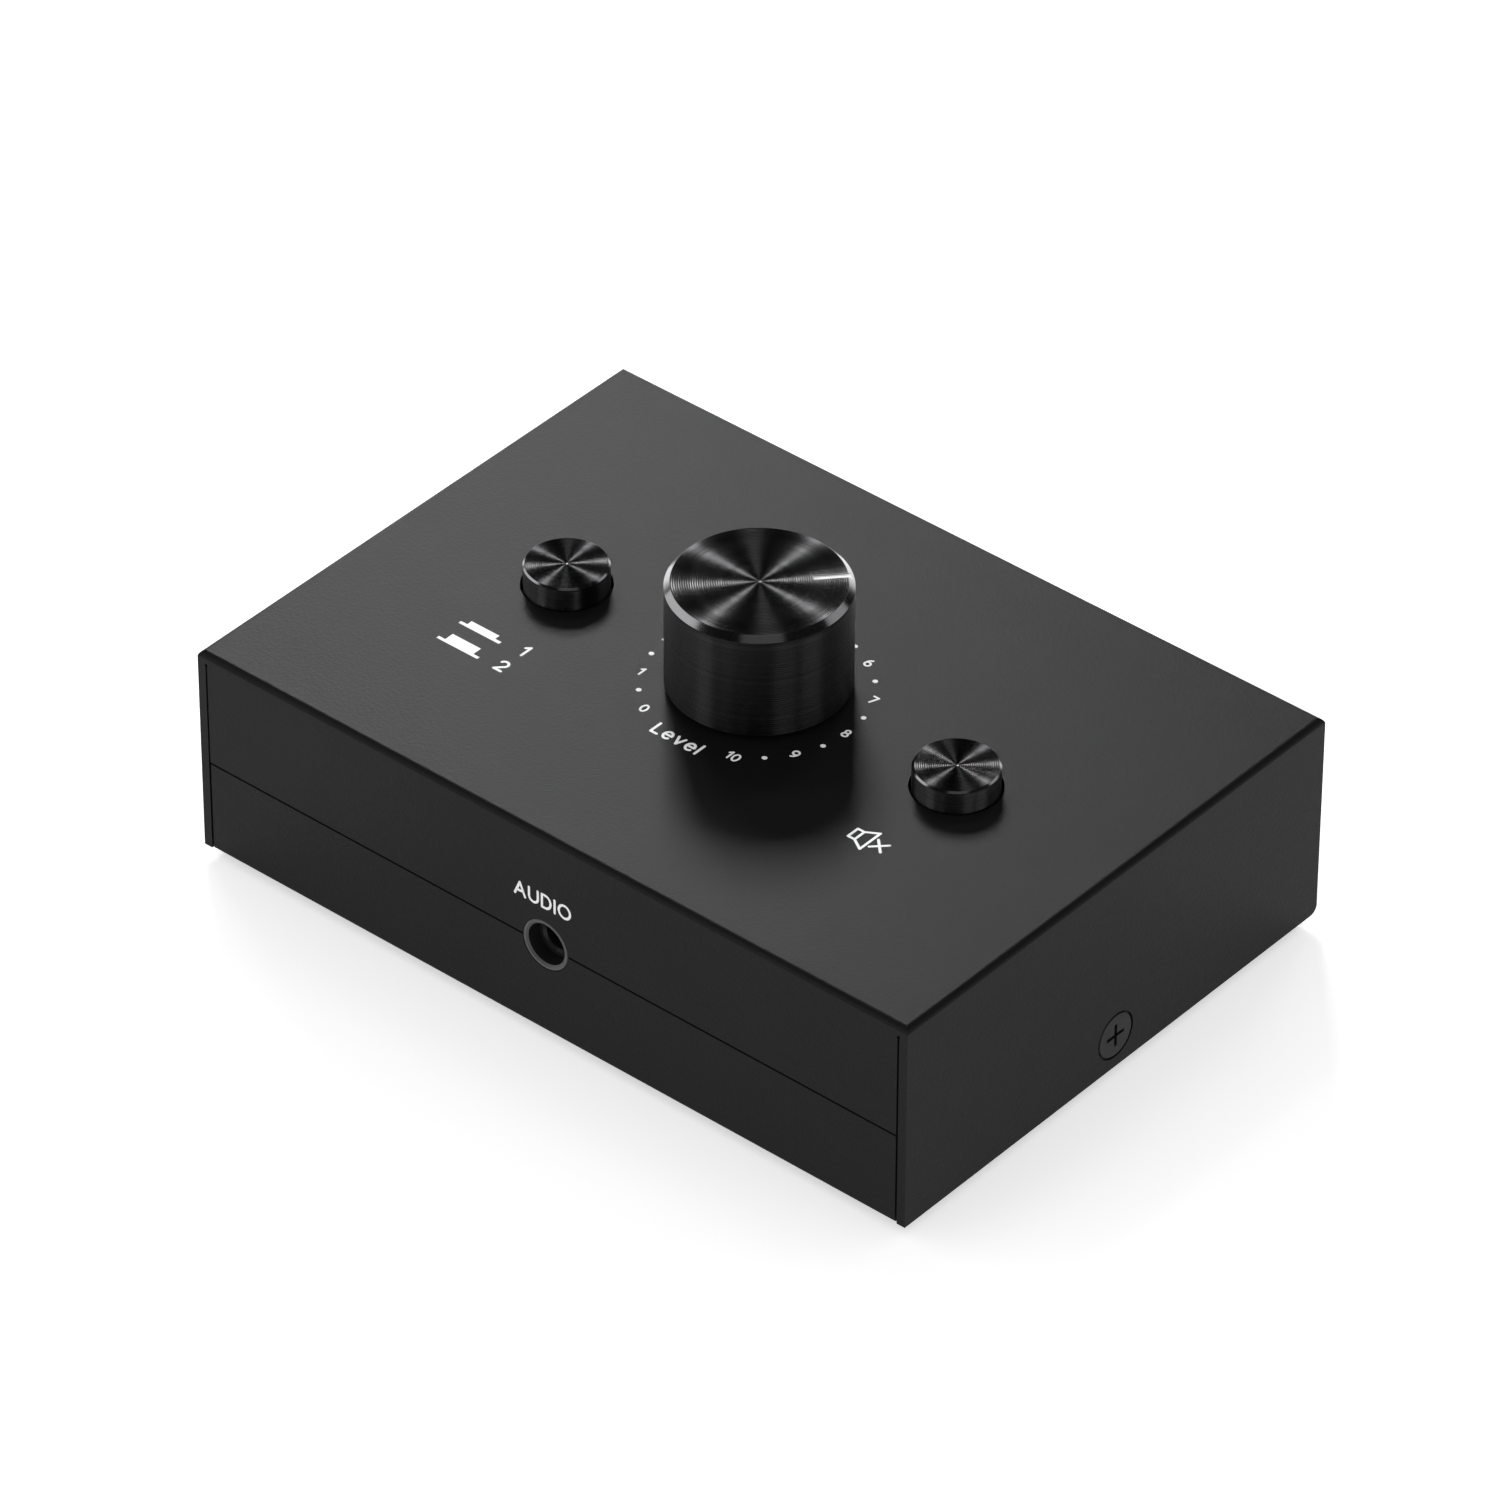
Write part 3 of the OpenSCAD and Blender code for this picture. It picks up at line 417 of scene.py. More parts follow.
@dataclass(frozen=True)
class Finish:
    """A plain moulded or plated surface with slight blotches and a fine grain."""

    name: str
    colour: Colour
    roughness: float
    metallic: float = 0.0
    specular: float = 0.5
    variation: float = 0.12
    blotch: float = 6 * MM
    grain: float = 0.15 * MM
    relief: float = 0.002 * MM
    uneven: float = 0.05
    patches_per_blotch: float = 3

    def start(self, name: str) -> Sheet:
        """Starts a material with the values that are the same all over."""
        sheet = Sheet(bpy.data.materials.new(name))
        sheet.set(Metallic=self.metallic, Roughness=self.roughness, Specular_IOR_Level=self.specular)
        return sheet

    def shades(self) -> tuple[Colour, Colour]:
        """Gives the darkest and the lightest shade of the colour."""
        dark = tuple(value * (1 - self.variation) for value in self.colour)
        light = tuple(value * (1 + self.variation) for value in self.colour)
        return dark, light

    def roughen(self, sheet: Sheet, amount: Socket) -> None:
        """Varies the roughness to both sides of its middle by a noise."""
        rough = sheet.spread(amount, self.roughness - self.uneven, self.roughness + self.uneven)
        sheet.link(rough, sheet.surface.inputs["Roughness"])

    def make(self) -> bpy.types.Material:
        """Builds the material."""
        sheet = self.start(self.name)
        where = sheet.place()
        sheet.shade(sheet.grain(where, self.blotch), *self.shades())
        self.roughen(sheet, sheet.grain(where, self.blotch / self.patches_per_blotch))
        sheet.relief(sheet.grain(where, self.grain), self.relief)
        return sheet.owner


@dataclass(frozen=True)
class PowderCoat(Finish):
    """Satin powder coat: soft pebbles, finer specks and a faint change of shade."""

    pebble: float = 0.42 * MM
    pebble_depth: float = 0.013 * MM
    pebble_roundness: float = 0.9
    speck: float = 0.16 * MM
    speck_share: float = 0.5

    def make(self) -> bpy.types.Material:
        """Builds the material."""
        sheet = self.start(self.name)
        where = sheet.place()
        sheet.shade(sheet.spread(sheet.grain(where, self.blotch), 0, 1), *self.shades())
        cells = sheet.add(
            "TexVoronoi", feature="SMOOTH_F1", Scale=1 / self.pebble, Smoothness=self.pebble_roundness
        )
        sheet.link(where, cells.inputs["Vector"])
        specks = sheet.grain(where, self.speck)
        fine = sheet.math("MULTIPLY", specks, self.speck_share)
        sheet.relief(sheet.math("ADD", cells.outputs["Distance"], fine), self.pebble_depth)
        self.roughen(sheet, specks)
        return sheet.owner


@dataclass(frozen=True)
class TurnedMetal(Finish):
    """Lathe-turned metal: fine rings round its own axis, whose light runs in lines to the centre."""

    stretch: float = 0.9
    stretch_turn: float = 0.25
    ring: float = 0.11 * MM
    ring_detail: float = 4
    ring_sharpness: float = 0.7
    broad_share: float = 0.2

    def make_for(self, name: str, centre: Sequence[float]) -> bpy.types.Material:
        """Builds the material for one turned piece.

        Args:
            name: The piece that the material is for.
            centre: A point on the piece's axis.

        Returns:
            The material, whose rings run round that axis.
        """
        sheet = self.start(f"{self.name}_{name}")
        sheet.set(Anisotropic=self.stretch, Anisotropic_Rotation=self.stretch_turn)
        tangent = sheet.add("Tangent", direction_type="RADIAL", axis="Z")
        sheet.link(tangent.outputs["Tangent"], sheet.surface.inputs["Tangent"])
        where = sheet.place(centre)
        parts = sheet.add("SeparateXYZ")
        sheet.link(where, parts.inputs["Vector"])
        across = sheet.math("POWER", parts.outputs["X"], 2)
        along = sheet.math("POWER", parts.outputs["Y"], 2)
        radius = sheet.math("SQRT", sheet.math("ADD", across, along))
        path = sheet.math("ADD", radius, parts.outputs["Z"])
        fine = sheet.add("TexNoise", noise_dimensions="1D", Scale=1 / self.ring)
        fine.inputs["Detail"].default_value = self.ring_detail
        fine.inputs["Roughness"].default_value = self.ring_sharpness
        broad = sheet.add("TexNoise", noise_dimensions="1D", Scale=self.broad_share / self.ring)
        for noise in (fine, broad):
            sheet.link(path, noise.inputs["W"])
        mean = sheet.math("MULTIPLY", sheet.math("ADD", fine.outputs["Fac"], broad.outputs["Fac"]), 0.5)
        sheet.shade(sheet.spread(mean, 0, 1), *self.shades())
        self.roughen(sheet, fine.outputs["Fac"])
        return sheet.owner


@dataclass(frozen=True)
class BoardMask(Finish):
    """Solder mask over the copper of a circuit board, with the tracks faintly raised.

    A track's gap, length and width are in parts of its scale.
    """

    track_scale: float = 2.2 * MM
    track_gap: float = 0.06
    track_length: float = 1.7
    track_width: float = 0.45
    lower_track: float = 0.8

    def make(self) -> bpy.types.Material:
        """Builds the material."""
        sheet = self.start(self.name)
        tracks = sheet.add(
            "TexBrick",
            Scale=1 / self.track_scale,
            Mortar_Size=self.track_gap,
            Brick_Width=self.track_length,
            Row_Height=self.track_width,
            Color1=(1, 1, 1, 1),
            Color2=(self.lower_track, self.lower_track, self.lower_track, 1),
            Mortar=(0, 0, 0, 1),
        )
        sheet.link(sheet.place(), tracks.inputs["Vector"])
        sheet.shade(tracks.outputs["Color"], *self.shades())
        sheet.relief(tracks.outputs["Color"], self.relief)
        return sheet.owner


CASE_PAINT = PowderCoat(
    "case_paint", (0.007, 0.007, 0.0072), roughness=0.43, specular=0.085, blotch=18 * MM
)
SCREW_PAINT = Finish("screw_paint", (0.008, 0.008, 0.0082), roughness=0.4, specular=0.16)
COLLAR_PAINT = Finish("collar_paint", (0.075, 0.075, 0.077), roughness=0.45, specular=0.3)
TURNED_BLACK = TurnedMetal(
    "turned_black",
    (0.045, 0.045, 0.046),
    roughness=0.13,
    metallic=1,
    variation=0.6,
    stretch=0.57,
    stretch_turn=0,
    ring=0.32 * MM,
    uneven=0.015,
)
TURNED_SIDE = TurnedMetal(
    "turned_side", (0.042, 0.042, 0.043), roughness=0.33, metallic=1, variation=0.3
)
# The caps' side is a lighter copy of the knob's turned side: painted sheen that stands in for the brighter
# reflections on the caps' sides
CAP_SIDE_PAINTED_SHEEN = TurnedMetal("cap_side_painted_sheen", (0.075, 0.075, 0.077), roughness=0.36, metallic=1, variation=0.3)
CUT_EDGE = TurnedMetal("cut_edge", (0.40, 0.40, 0.41), roughness=0.16, metallic=1, stretch=0.3)
PRINT_WHITE = Finish("print_white", (0.92, 0.92, 0.92), roughness=0.5, variation=0.03)
# The jacks' black plastic, also laid on the collars' bores, where it is partly painted shade
JACK_PLASTIC_AND_BORE_SHADE = Finish("jack_plastic", (0.012, 0.012, 0.012), roughness=0.4, specular=0.3)
FOOT_RUBBER = Finish("foot_rubber", (0.016, 0.016, 0.016), roughness=0.8, relief=0.01 * MM, grain=0.3 * MM)
BOARD_MASK = BoardMask("board_mask", (0.016, 0.12, 0.05), roughness=0.3, variation=0.35, relief=0.01 * MM)
PLATED_STEEL = Finish("plated_steel", (0.62, 0.62, 0.60), roughness=0.3, metallic=1)
CAST_ZINC = Finish("cast_zinc", (0.55, 0.55, 0.53), roughness=0.45, metallic=1, relief=0.005 * MM)
CONTACT_METAL = Finish("contact_metal", (0.78, 0.66, 0.36), roughness=0.28, metallic=1)
PHENOLIC = Finish("phenolic", (0.26, 0.14, 0.06), roughness=0.6, variation=0.25, blotch=1.5 * MM)
WHITE_PLASTIC = Finish("white_plastic", (0.78, 0.78, 0.74), roughness=0.5, variation=0.04)

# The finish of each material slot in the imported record, for the CAD nodes that keep their own shape
SLOT_FINISH = {
    "case_steel": CASE_PAINT,
    "black_screws": SCREW_PAINT,
    "foot_rubber": FOOT_RUBBER,
    "board": BOARD_MASK,
    "plated_steel": PLATED_STEEL,
    "pot_zinc": CAST_ZINC,
    "jack_collar": COLLAR_PAINT,
    "jack_plastic": JACK_PLASTIC_AND_BORE_SHADE,
    "contact_metal": CONTACT_METAL,
    "phenolic": PHENOLIC,
    "white_paint": PRINT_WHITE,
    "white_plastic": WHITE_PLASTIC,
}


def dress(piece: Piece, material: bpy.types.Material) -> None:
    """Gives a piece one material all over."""
    piece.data.materials.clear()
    piece.data.materials.append(material)


def hand_over(piece: Piece, body: str, slot: str, *nodes: str) -> Piece:
    """Puts a finished piece on its CAD body and reports it.

    Args:
        piece: The finished piece.
        body: The CAD body that it rides on.
        slot: The record's material slot; not used.
        nodes: The CAD nodes that it stands for.

    Returns:
        The same piece.
    """
    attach(piece, body)
    if nodes:
        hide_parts(*nodes)
    LOG.info("%s rides on %s and stands for %s", piece.name, body, nodes or "no node")
    return piece


def mount_place(name: str) -> Vector:
    """Gives the place of one of the record's mounts."""
    return Vector([mount["pos_m"] for mount in frame["record"]["mounts"] if mount["name"] == name][0])


@dataclass
class Enclosure:
    """The folded steel case: a cover with full sides, and a base with the lower front and rear."""

    sheet: float = SHEET_THICKNESS
    top_bend: float = 0.8 * MM
    front_bend: float = 0.4 * MM
    rear_bend: float = 1.1 * MM
    seam_gap: float = 0.25 * MM
    slit_gap: float = 0.25 * MM
    slit_drop: float = 0.45 * MM
    relief: float = 0.22 * MM
    edge: float = 0.09 * MM
    tab_half: float = 7 * MM
    tab_height: float = 9 * MM
    collar_hole: float = 3.4 * MM
    button_hole: float = 5.5 * MM
    bushing_hole: float = 3.58 * MM
    screw_height: float = 4.6 * MM
    head_radius: float = SCREW_HEAD
    head_rim: float = SCREW_RIM
    head_gap: float = 0.25 * MM
    shank_hole: float = 1.5 * MM
    spare: float = 2 * MM
    bend_steps: int = 8
    hole_steps: int = 96

    def __post_init__(self) -> None:
        """Reads the case's box and its sockets' places from the frame."""
        self.low, self.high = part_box("top_cover")
        self.seam = mount_place("output_jack").z
        self.wall_x = self.high.x - self.sheet - self.slit_gap
        self.jacks = [
            Vector((mount_place(name).x, self.low.y if in_front else self.high.y, self.seam))
            for name, in_front in JACKS.items()
        ]

    def bend(self, piece: Piece, radius: float, test: Callable[[Vector, Vector], bool]) -> None:
        """Rounds the chosen outer edges of a blank into bends."""
        with editing(piece, Parts.EDGES):
            pick_edges(piece, test)
            bpy.ops.mesh.bevel(offset=radius, segments=self.bend_steps, affect="EDGES", clamp_overlap=False)

    def along_x(self, y: float, z: float) -> Callable[[Vector, Vector], bool]:
        """Gives a test for the edges that run along X at a place."""
        return lambda a, b: all(abs(p.y - y) < SAME_POINT and abs(p.z - z) < SAME_POINT for p in (a, b))

    def bore(self, piece: Piece, radius: float, centre: Vector, axis: Axis, depth: float) -> None:
        """Cuts a round hole of a depth to both sides of a centre."""
        bpy.ops.mesh.primitive_cylinder_add(
            vertices=self.hole_steps, radius=radius, depth=2 * depth, location=centre, rotation=axis.value
        )
        cutter = bpy.context.object
        settle(cutter)
        carve(piece, cutter)

    def cut_block(self, piece: Piece, low: Sequence[float], high: Sequence[float]) -> None:
        """Cuts a box out of a piece."""
        carve(piece, block("cutter", low, high))

    def screw_seat(self, piece: Piece, side: Side) -> None:
        """Sinks the seat of a countersunk screw into one side of the cover."""
        rim = self.head_radius + self.head_gap
        outline = [
            (0, self.spare),
            (rim, self.spare),
            (rim, -self.head_rim),
            (self.head_radius, -self.head_rim),
            (self.shank_hole, -self.sheet),
            (self.shank_hole, -self.sheet - self.spare),
            (0, -self.sheet - self.spare),
        ]
        cutter = turned("seat", outline, self.hole_steps)
        turn_to(cutter, side.outwards, (side.value * self.high.x, 0, self.low.z + self.screw_height))
        carve(piece, cutter)

    def open_wall(self, piece: Piece, outer: float, inwards: int) -> None:
        """Clears one wall of the cover below the seam and cuts the slits beside it.

        Args:
            piece: The cover.
            outer: Where the wall's outer face lies along Y.
            inwards: The sign of Y into the case.
        """
        ys = sorted((outer - inwards * self.spare, outer + inwards * self.sheet))
        inner_x = self.high.x - self.sheet
        slit_top = self.high.z - self.sheet - self.slit_drop
        bottom = self.low.z - self.spare
        self.cut_block(piece, (-inner_x, ys[0], bottom), (inner_x, ys[1], self.seam + self.seam_gap / 2))
        for side in Side:
            xs = sorted((side.value * self.wall_x, side.value * inner_x))
            self.cut_block(piece, (xs[0], ys[0], bottom), (xs[1], ys[1], slit_top))
            centre = Vector((sum(xs) / 2, outer, slit_top))
            self.bore(piece, self.relief, centre, Axis.Y, self.sheet)

    def cover(self) -> Piece:
        """Builds the cover with its bends, slits, seats and holes."""
        piece = block("cover", self.low, self.high)
        top = self.high.z
        self.bend(piece, self.top_bend, lambda a, b: a.z > top - SAME_POINT and b.z > top - SAME_POINT)
        self.bend(piece, self.rear_bend, self.along_x(self.high.y, self.low.z))
        wall = Vector((self.sheet, self.sheet, 0))
        inner_low = self.low + wall - Vector((0, 0, self.spare))
        inner_high = self.high - wall - Vector((0, 0, self.sheet))
        self.cut_block(piece, inner_low, inner_high)
        self.open_wall(piece, self.low.y, 1)
        self.open_wall(piece, self.high.y, -1)
        for place in self.jacks:
            self.bore(piece, self.collar_hole, place, Axis.Y, self.spare)
        for side in Side:
            self.screw_seat(piece, side)
            button = sum(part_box(f"{side.switch}_button_cap"), Vector()) / 2
            self.bore(piece, self.button_hole, Vector((button.x, button.y, top)), Axis.Z, self.spare)
        self.bore(piece, self.bushing_hole, Vector((0, 0, top)), Axis.Z, self.spare)
        return piece

    def base(self) -> Piece:
        """Builds the base with its bends, tabs and holes."""
        low = Vector((-self.wall_x, self.low.y, self.low.z))
        high = Vector((self.wall_x, self.high.y, self.seam - self.seam_gap / 2))
        piece = block("base", low, high)
        self.bend(piece, self.front_bend, self.along_x(low.y, low.z))
        self.bend(piece, self.rear_bend, self.along_x(high.y, low.z))
        hollow_low = (low.x - self.spare, low.y + self.sheet, low.z + self.sheet)
        hollow_high = (high.x + self.spare, high.y - self.sheet, high.z + self.spare)
        self.cut_block(piece, hollow_low, hollow_high)
        for side in Side:
            xs = sorted((side.value * self.wall_x, side.value * (self.wall_x - self.sheet)))
            tab_low = (xs[0], -self.tab_half, low.z + self.sheet / 2)
            tab_high = (xs[1], self.tab_half, low.z + self.tab_height)
            carve(piece, block("tab", tab_low, tab_high), Carve.ADD)
            centre = Vector((side.value * self.wall_x, 0, low.z + self.screw_height))
            self.bore(piece, self.shank_hole, centre, Axis.X, self.spare)
        for place in self.jacks:
            self.bore(piece, self.collar_hole, place, Axis.Y, self.spare)
        return piece

    def build(self) -> None:
        """Builds both halves of the case, rounds their edges and dresses them."""
        paint = CASE_PAINT.make()
        for piece, node in ((self.cover(), "top_cover"), (self.base(), "base_plate")):
            close_up(piece)
            round_edges(piece, self.edge)
            smooth(piece)
            dress(piece, paint)
            hand_over(piece, "case", "case_steel", node)


@dataclass
class SideScrews:
    """The two countersunk screws that hold the cover to the base's tabs."""

    head_radius: float = SCREW_HEAD
    head_rim: float = SCREW_RIM
    shank_radius: float = 1.45 * MM
    sheet: float = SHEET_THICKNESS
    length: float = 6 * MM
    cross_length: float = 3.3 * MM
    cross_width: float = 0.5 * MM
    cross_depth: float = 0.8 * MM
    cross_taper: float = 0.55
    edge: float = 0.08 * MM
    thread_pitch: float = 0.5 * MM
    thread_depth: float = 0.12 * MM
    thread_crest: float = 0.35
    thread_root: float = 0.7
    steps: int = 96

    def body(self) -> Piece:
        """Turns one screw, its head's face at the origin and its shank pointing down."""
        outline = [
            (0, 0),
            (self.head_radius - self.edge, 0),
            (self.head_radius, -self.edge),
            (self.head_radius, -self.head_rim),
            (self.shank_radius, -self.sheet),
        ]
        count = int((self.length - self.sheet) / self.thread_pitch) - 1
        for turn in range(count):
            height = -self.sheet - turn * self.thread_pitch
            crest_end = height - self.thread_pitch * self.thread_crest
            root = height - self.thread_pitch * self.thread_root
            outline += [(self.shank_radius, crest_end), (self.shank_radius - self.thread_depth, root)]
        outline += [
            (self.shank_radius, -self.length + self.thread_depth),
            (self.shank_radius / 2, -self.length),
            (0, -self.length),
        ]
        return turned("side_screw", outline, self.steps)

    def cross(self) -> Piece:
        """Builds the tapered cross that the driver fits, standing in the head's face."""
        bpy.ops.mesh.primitive_cube_add(size=1)
        cutter = bpy.context.object
        cutter.scale = (self.cross_length, self.cross_width, self.cross_depth)
        cutter.location = (0, 0, self.edge - self.cross_depth / 2)
        settle(cutter)
        with editing(cutter, Parts.FACES):
            pick_faces(cutter, lambda middle, normal: normal.z < LOOKS_DOWN)
            bpy.ops.transform.resize(value=(self.cross_taper, self.cross_taper, 1))
        twin = copy_of(cutter, "arm")
        twin.rotation_euler.z = math.pi / 2
        settle(twin)
        carve(cutter, twin, Carve.ADD)
        return cutter

    def build(self) -> None:
        """Builds both screws in their seats."""
        low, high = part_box("side_screws")
        model = self.body()
        carve(model, self.cross())
        smooth(model)
        dress(model, SCREW_PAINT.make())
        height = (low.z + high.z) / 2
        for side in Side:
            screw = copy_of(model, f"side_screw_{side.name.lower()}")
            turn_to(screw, side.outwards, (side.value * high.x, 0, height))
            hand_over(screw, "case", "black_screws", "side_screws")
        bpy.data.objects.remove(model)


@dataclass
class RubberFeet:
    """Four stick-on feet with rounded treads."""

    radius: float = 4 * MM
    tread_radius: float = 3.6 * MM
    height: float = 1.5 * MM
    rounding: float = 0.3 * MM
    rounding_middle: float = 0.3
    steps: int = 64

    def build(self) -> None:
        """Builds the feet at the corners of the node's box."""
        low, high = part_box("rubber_feet")
        middle = self.rounding * self.rounding_middle
        outline = [
            (0, 0),
            (self.tread_radius - self.rounding, 0),
            (self.tread_radius - middle, middle),
            (self.tread_radius, self.rounding),
            (self.radius, self.height),
            (0, self.height),
        ]
        model = turned("foot", outline, self.steps)
        smooth(model)
        dress(model, FOOT_RUBBER.make())
        inset = Vector((self.radius, self.radius, 0))
        near, far = low + inset, high - inset
        for row, y in (("front", near.y), ("rear", far.y)):
            for end, x in (("left", near.x), ("right", far.x)):
                foot = copy_of(model, f"foot_{row}_{end}", (x, y, 0))
                hand_over(foot, "case", "foot_rubber", "rubber_feet")
        bpy.data.objects.remove(model)


@dataclass
class JackCollars:
    """The dark grey collars that line the socket holes."""

    outer: float = 3.35 * MM
    inner: float = 2.75 * MM
    chamfer: float = 0.25 * MM
    length: float = 3.2 * MM
    lip_from: float = 1.25 * MM
    lip: float = 0.45 * MM
    edge: float = 0.07 * MM
    steps: int = 96

    def build(self) -> None:
        """Builds one collar for each socket, its face flush with the wall."""
        outline = [
            (self.inner + self.chamfer, 0),
            (self.outer - self.edge, 0),
            (self.outer, self.edge),
            (self.outer, self.lip_from),
            (self.outer + self.lip, self.lip_from),
            (self.outer + self.lip, self.length),
            (self.inner, self.length),
            (self.inner, self.chamfer),
            (self.inner + self.chamfer, 0),
        ]
        model = turned("collar", outline, self.steps)
        smooth(model)
        dress(model, COLLAR_PAINT.make())
        # The bore takes the black jack plastic, darker than the collar's face: partly the jack's own black
        # plastic, partly painted shade inside the hole
        model.data.materials.append(JACK_PLASTIC_AND_BORE_SHADE.make())
        for face in model.data.polygons:
            if math.hypot(face.center.x, face.center.y) < self.inner + self.edge:
                face.material_index = len(model.data.materials) - 1
        for jack, in_front in JACKS.items():
            node = f"{jack}_ring"
            low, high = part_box(node)
            place = mount_place(jack)
            place.y = low.y if in_front else high.y
            turn = Matrix.Rotation(math.radians(-90 if in_front else 90), 4, "X")
            ring = turn_to(copy_of(model, f"{jack}_collar"), turn, place)
            hand_over(ring, "case", "jack_collar", node)
        bpy.data.objects.remove(model)


@dataclass
class TurnedPart:
    """What the knob and the caps share: a grooved top, a bright-cut chamfer and a ribbed side."""

    chamfer: float = 0.2 * MM
    rib_pitch: float = 0.22 * MM
    rib_depth: float = 0.022 * MM
    rib_land: float = 0.5
    ring_pitch: float = 0.25 * MM
    ring_slope_deg: float = 13.5
    smooth_deg: float = 20
    spare: float = 1 * MM
    steps: int = 128
    # The caps take the lighter side finish, whose extra brightness is painted sheen
    side: TurnedMetal = CAP_SIDE_PAINTED_SHEEN

    def rings(self, edge: float, height: float) -> Outline:
        """Gives the shallow grooves that facing leaves on a turned top.

        Args:
            edge: The radius at which the grooves end.
            height: The height of the top.

        Returns:
            Outline points from the middle to the edge, where the last groove ends.
        """
        count = round(edge / self.ring_pitch)
        pitch = edge / count
        depth = math.tan(math.radians(self.ring_slope_deg)) * pitch / 2
        points = [(0, height - 2 * depth)]
        for ring in range(1, count):
            points += [(ring * pitch, height), ((ring + 0.5) * pitch, height - depth)]
        return points

    def ribs(self, radius: float, top: float, bottom: float) -> Outline:
        """Gives the fine ribs that a turned side has.

        Args:
            radius: The radius of the side.
            top: Where the side starts.
            bottom: Where it ends.

        Returns:
            Outline points from the first rib down to the last.
        """
        count = int((top - bottom) / self.rib_pitch) - 1
        start = top - (top - bottom - count * self.rib_pitch) / 2
        points = []
        for rib in range(count):
            height = start - rib * self.rib_pitch
            points.append((radius, height))
            points.append((radius, height - self.rib_pitch * self.rib_land))
            points.append((radius - self.rib_depth, height - self.rib_pitch * (1 + self.rib_land) / 2))
        points.append((radius, start - count * self.rib_pitch))
        return points

    def shell(self, radius: float, top: float, bottom: float) -> Outline:
        """Gives the outline from the middle of the top, over the chamfer, down to the side's end."""
        flat, shoulder = radius - self.chamfer, top - self.chamfer
        points = [*self.rings(flat, top), (flat, top), (radius, shoulder)]
        return [*points, *self.ribs(radius, shoulder, bottom), (radius, bottom)]

    def dress_turned(
        self, piece: Piece, name: str, centre: Sequence[float], radius: float, top: float
    ) -> None:
        """Shades a piece and gives it its black finish, with the cut edge on its top chamfer.

        Args:
            piece: The turned piece.
            name: A word for its materials.
            centre: A point on its axis.
            radius: The radius of its side.
            top: The height of its top.
        """
        shade_by_angle(piece, self.smooth_deg)
        finishes = [TURNED_BLACK, CUT_EDGE, self.side]
        piece.data.materials.clear()
        for finish in finishes:
            piece.data.materials.append(finish.make_for(name, centre))
        for face in piece.data.polygons:
            middle = face.center - Vector(centre)
            outside = math.hypot(middle.x, middle.y) > radius - self.chamfer
            upper = face.center.z > top - self.chamfer
            slope = SLOPE[0] < face.normal.z < SLOPE[1]
            if upper and (abs(face.normal.z) < UPRIGHT or (outside and slope)):
                face.material_index = finishes.index(CUT_EDGE)
            elif outside and not upper:
                face.material_index = finishes.index(self.side)


@dataclass
class VolumeKnob(TurnedPart):
    """The large turned knob with its pointer groove."""

    chamfer: float = 0.7 * MM
    rib_pitch: float = 0.3 * MM
    rib_depth: float = 0.03 * MM
    rib_land: float = 0.55
    ring_pitch: float = 0.27 * MM
    steps: int = 160
    side: TurnedMetal = TURNED_SIDE
    foot_chamfer: float = 0.25 * MM
    skirt: float = 2.5 * MM
    hollow: float = 4.6 * MM
    core_radius: float = 5 * MM
    roof: float = 2.2 * MM
    pointer_deg: float = 47.5
    pointer_from: float = 6.2 * MM
    pointer_width: float = 0.85 * MM
    pointer_depth: float = 0.4 * MM
    paint_depth: float = 0.2 * MM
    paint_edge: float = 0.03 * MM

    def outline(self, radius: float, low: float, high: float) -> Outline:
        """Gives the knob's outline from the middle of its top round to its pocket."""
        return [
            *self.shell(radius, high, low + self.foot_chamfer),
            (radius - self.foot_chamfer, low),
            (radius - self.skirt, low),
            (radius - self.skirt, low + self.hollow),
            (self.core_radius, low + self.hollow),
            (self.core_radius, high - self.roof),
            (0, high - self.roof),
        ]

    def pointer_bar(self, name: str, end: float, bottom: float, top: float) -> Piece:
        """Builds a bar along the pointer, from the groove's inner end outwards."""
        half = self.pointer_width / 2
        bar = block(name, (self.pointer_from, -half, bottom), (end, half, top))
        bar.rotation_euler.z = math.radians(self.pointer_deg)
        settle(bar)
        return bar

    def paint(self, radius: float, high: float) -> None:
        """Fills the bottom of the groove with white paint, which ends in the chamfer's slope."""
        bottom = high - self.pointer_depth
        paint = self.pointer_bar("pointer_paint", radius, bottom, bottom + self.paint_depth)
        turn = math.radians(self.pointer_deg)
        outwards = Vector((math.cos(turn), math.sin(turn), 1)).normalized()
        rim = Vector((math.cos(turn) * radius, math.sin(turn) * radius, high - self.chamfer))
        with editing(paint):
            bpy.ops.mesh.select_all(action="SELECT")
            bpy.ops.mesh.bisect(plane_co=rim, plane_no=outwards, use_fill=True, clear_outer=True)
        close_up(paint)
        round_edges(paint, self.paint_edge)
        smooth(paint)
        dress(paint, PRINT_WHITE.make())
        hand_over(paint, "volume_knob", "white_paint", "knob_pointer")

    def build(self) -> None:
        """Builds the knob, cuts the pointer's groove and paints it."""
        low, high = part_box("volume_knob")
        radius = high.x
        knob = turned("volume_knob_turned", self.outline(radius, low.z, high.z), self.steps)
        groove_bottom = high.z - self.pointer_depth
        carve(knob, self.pointer_bar("groove", radius + self.spare, groove_bottom, high.z + self.spare))
        self.paint(radius, high.z)
        close_up(knob)
        self.dress_turned(knob, "volume_knob", (0, 0, 0), radius, high.z)
        hand_over(knob, "volume_knob", "black_anodised", "volume_knob")


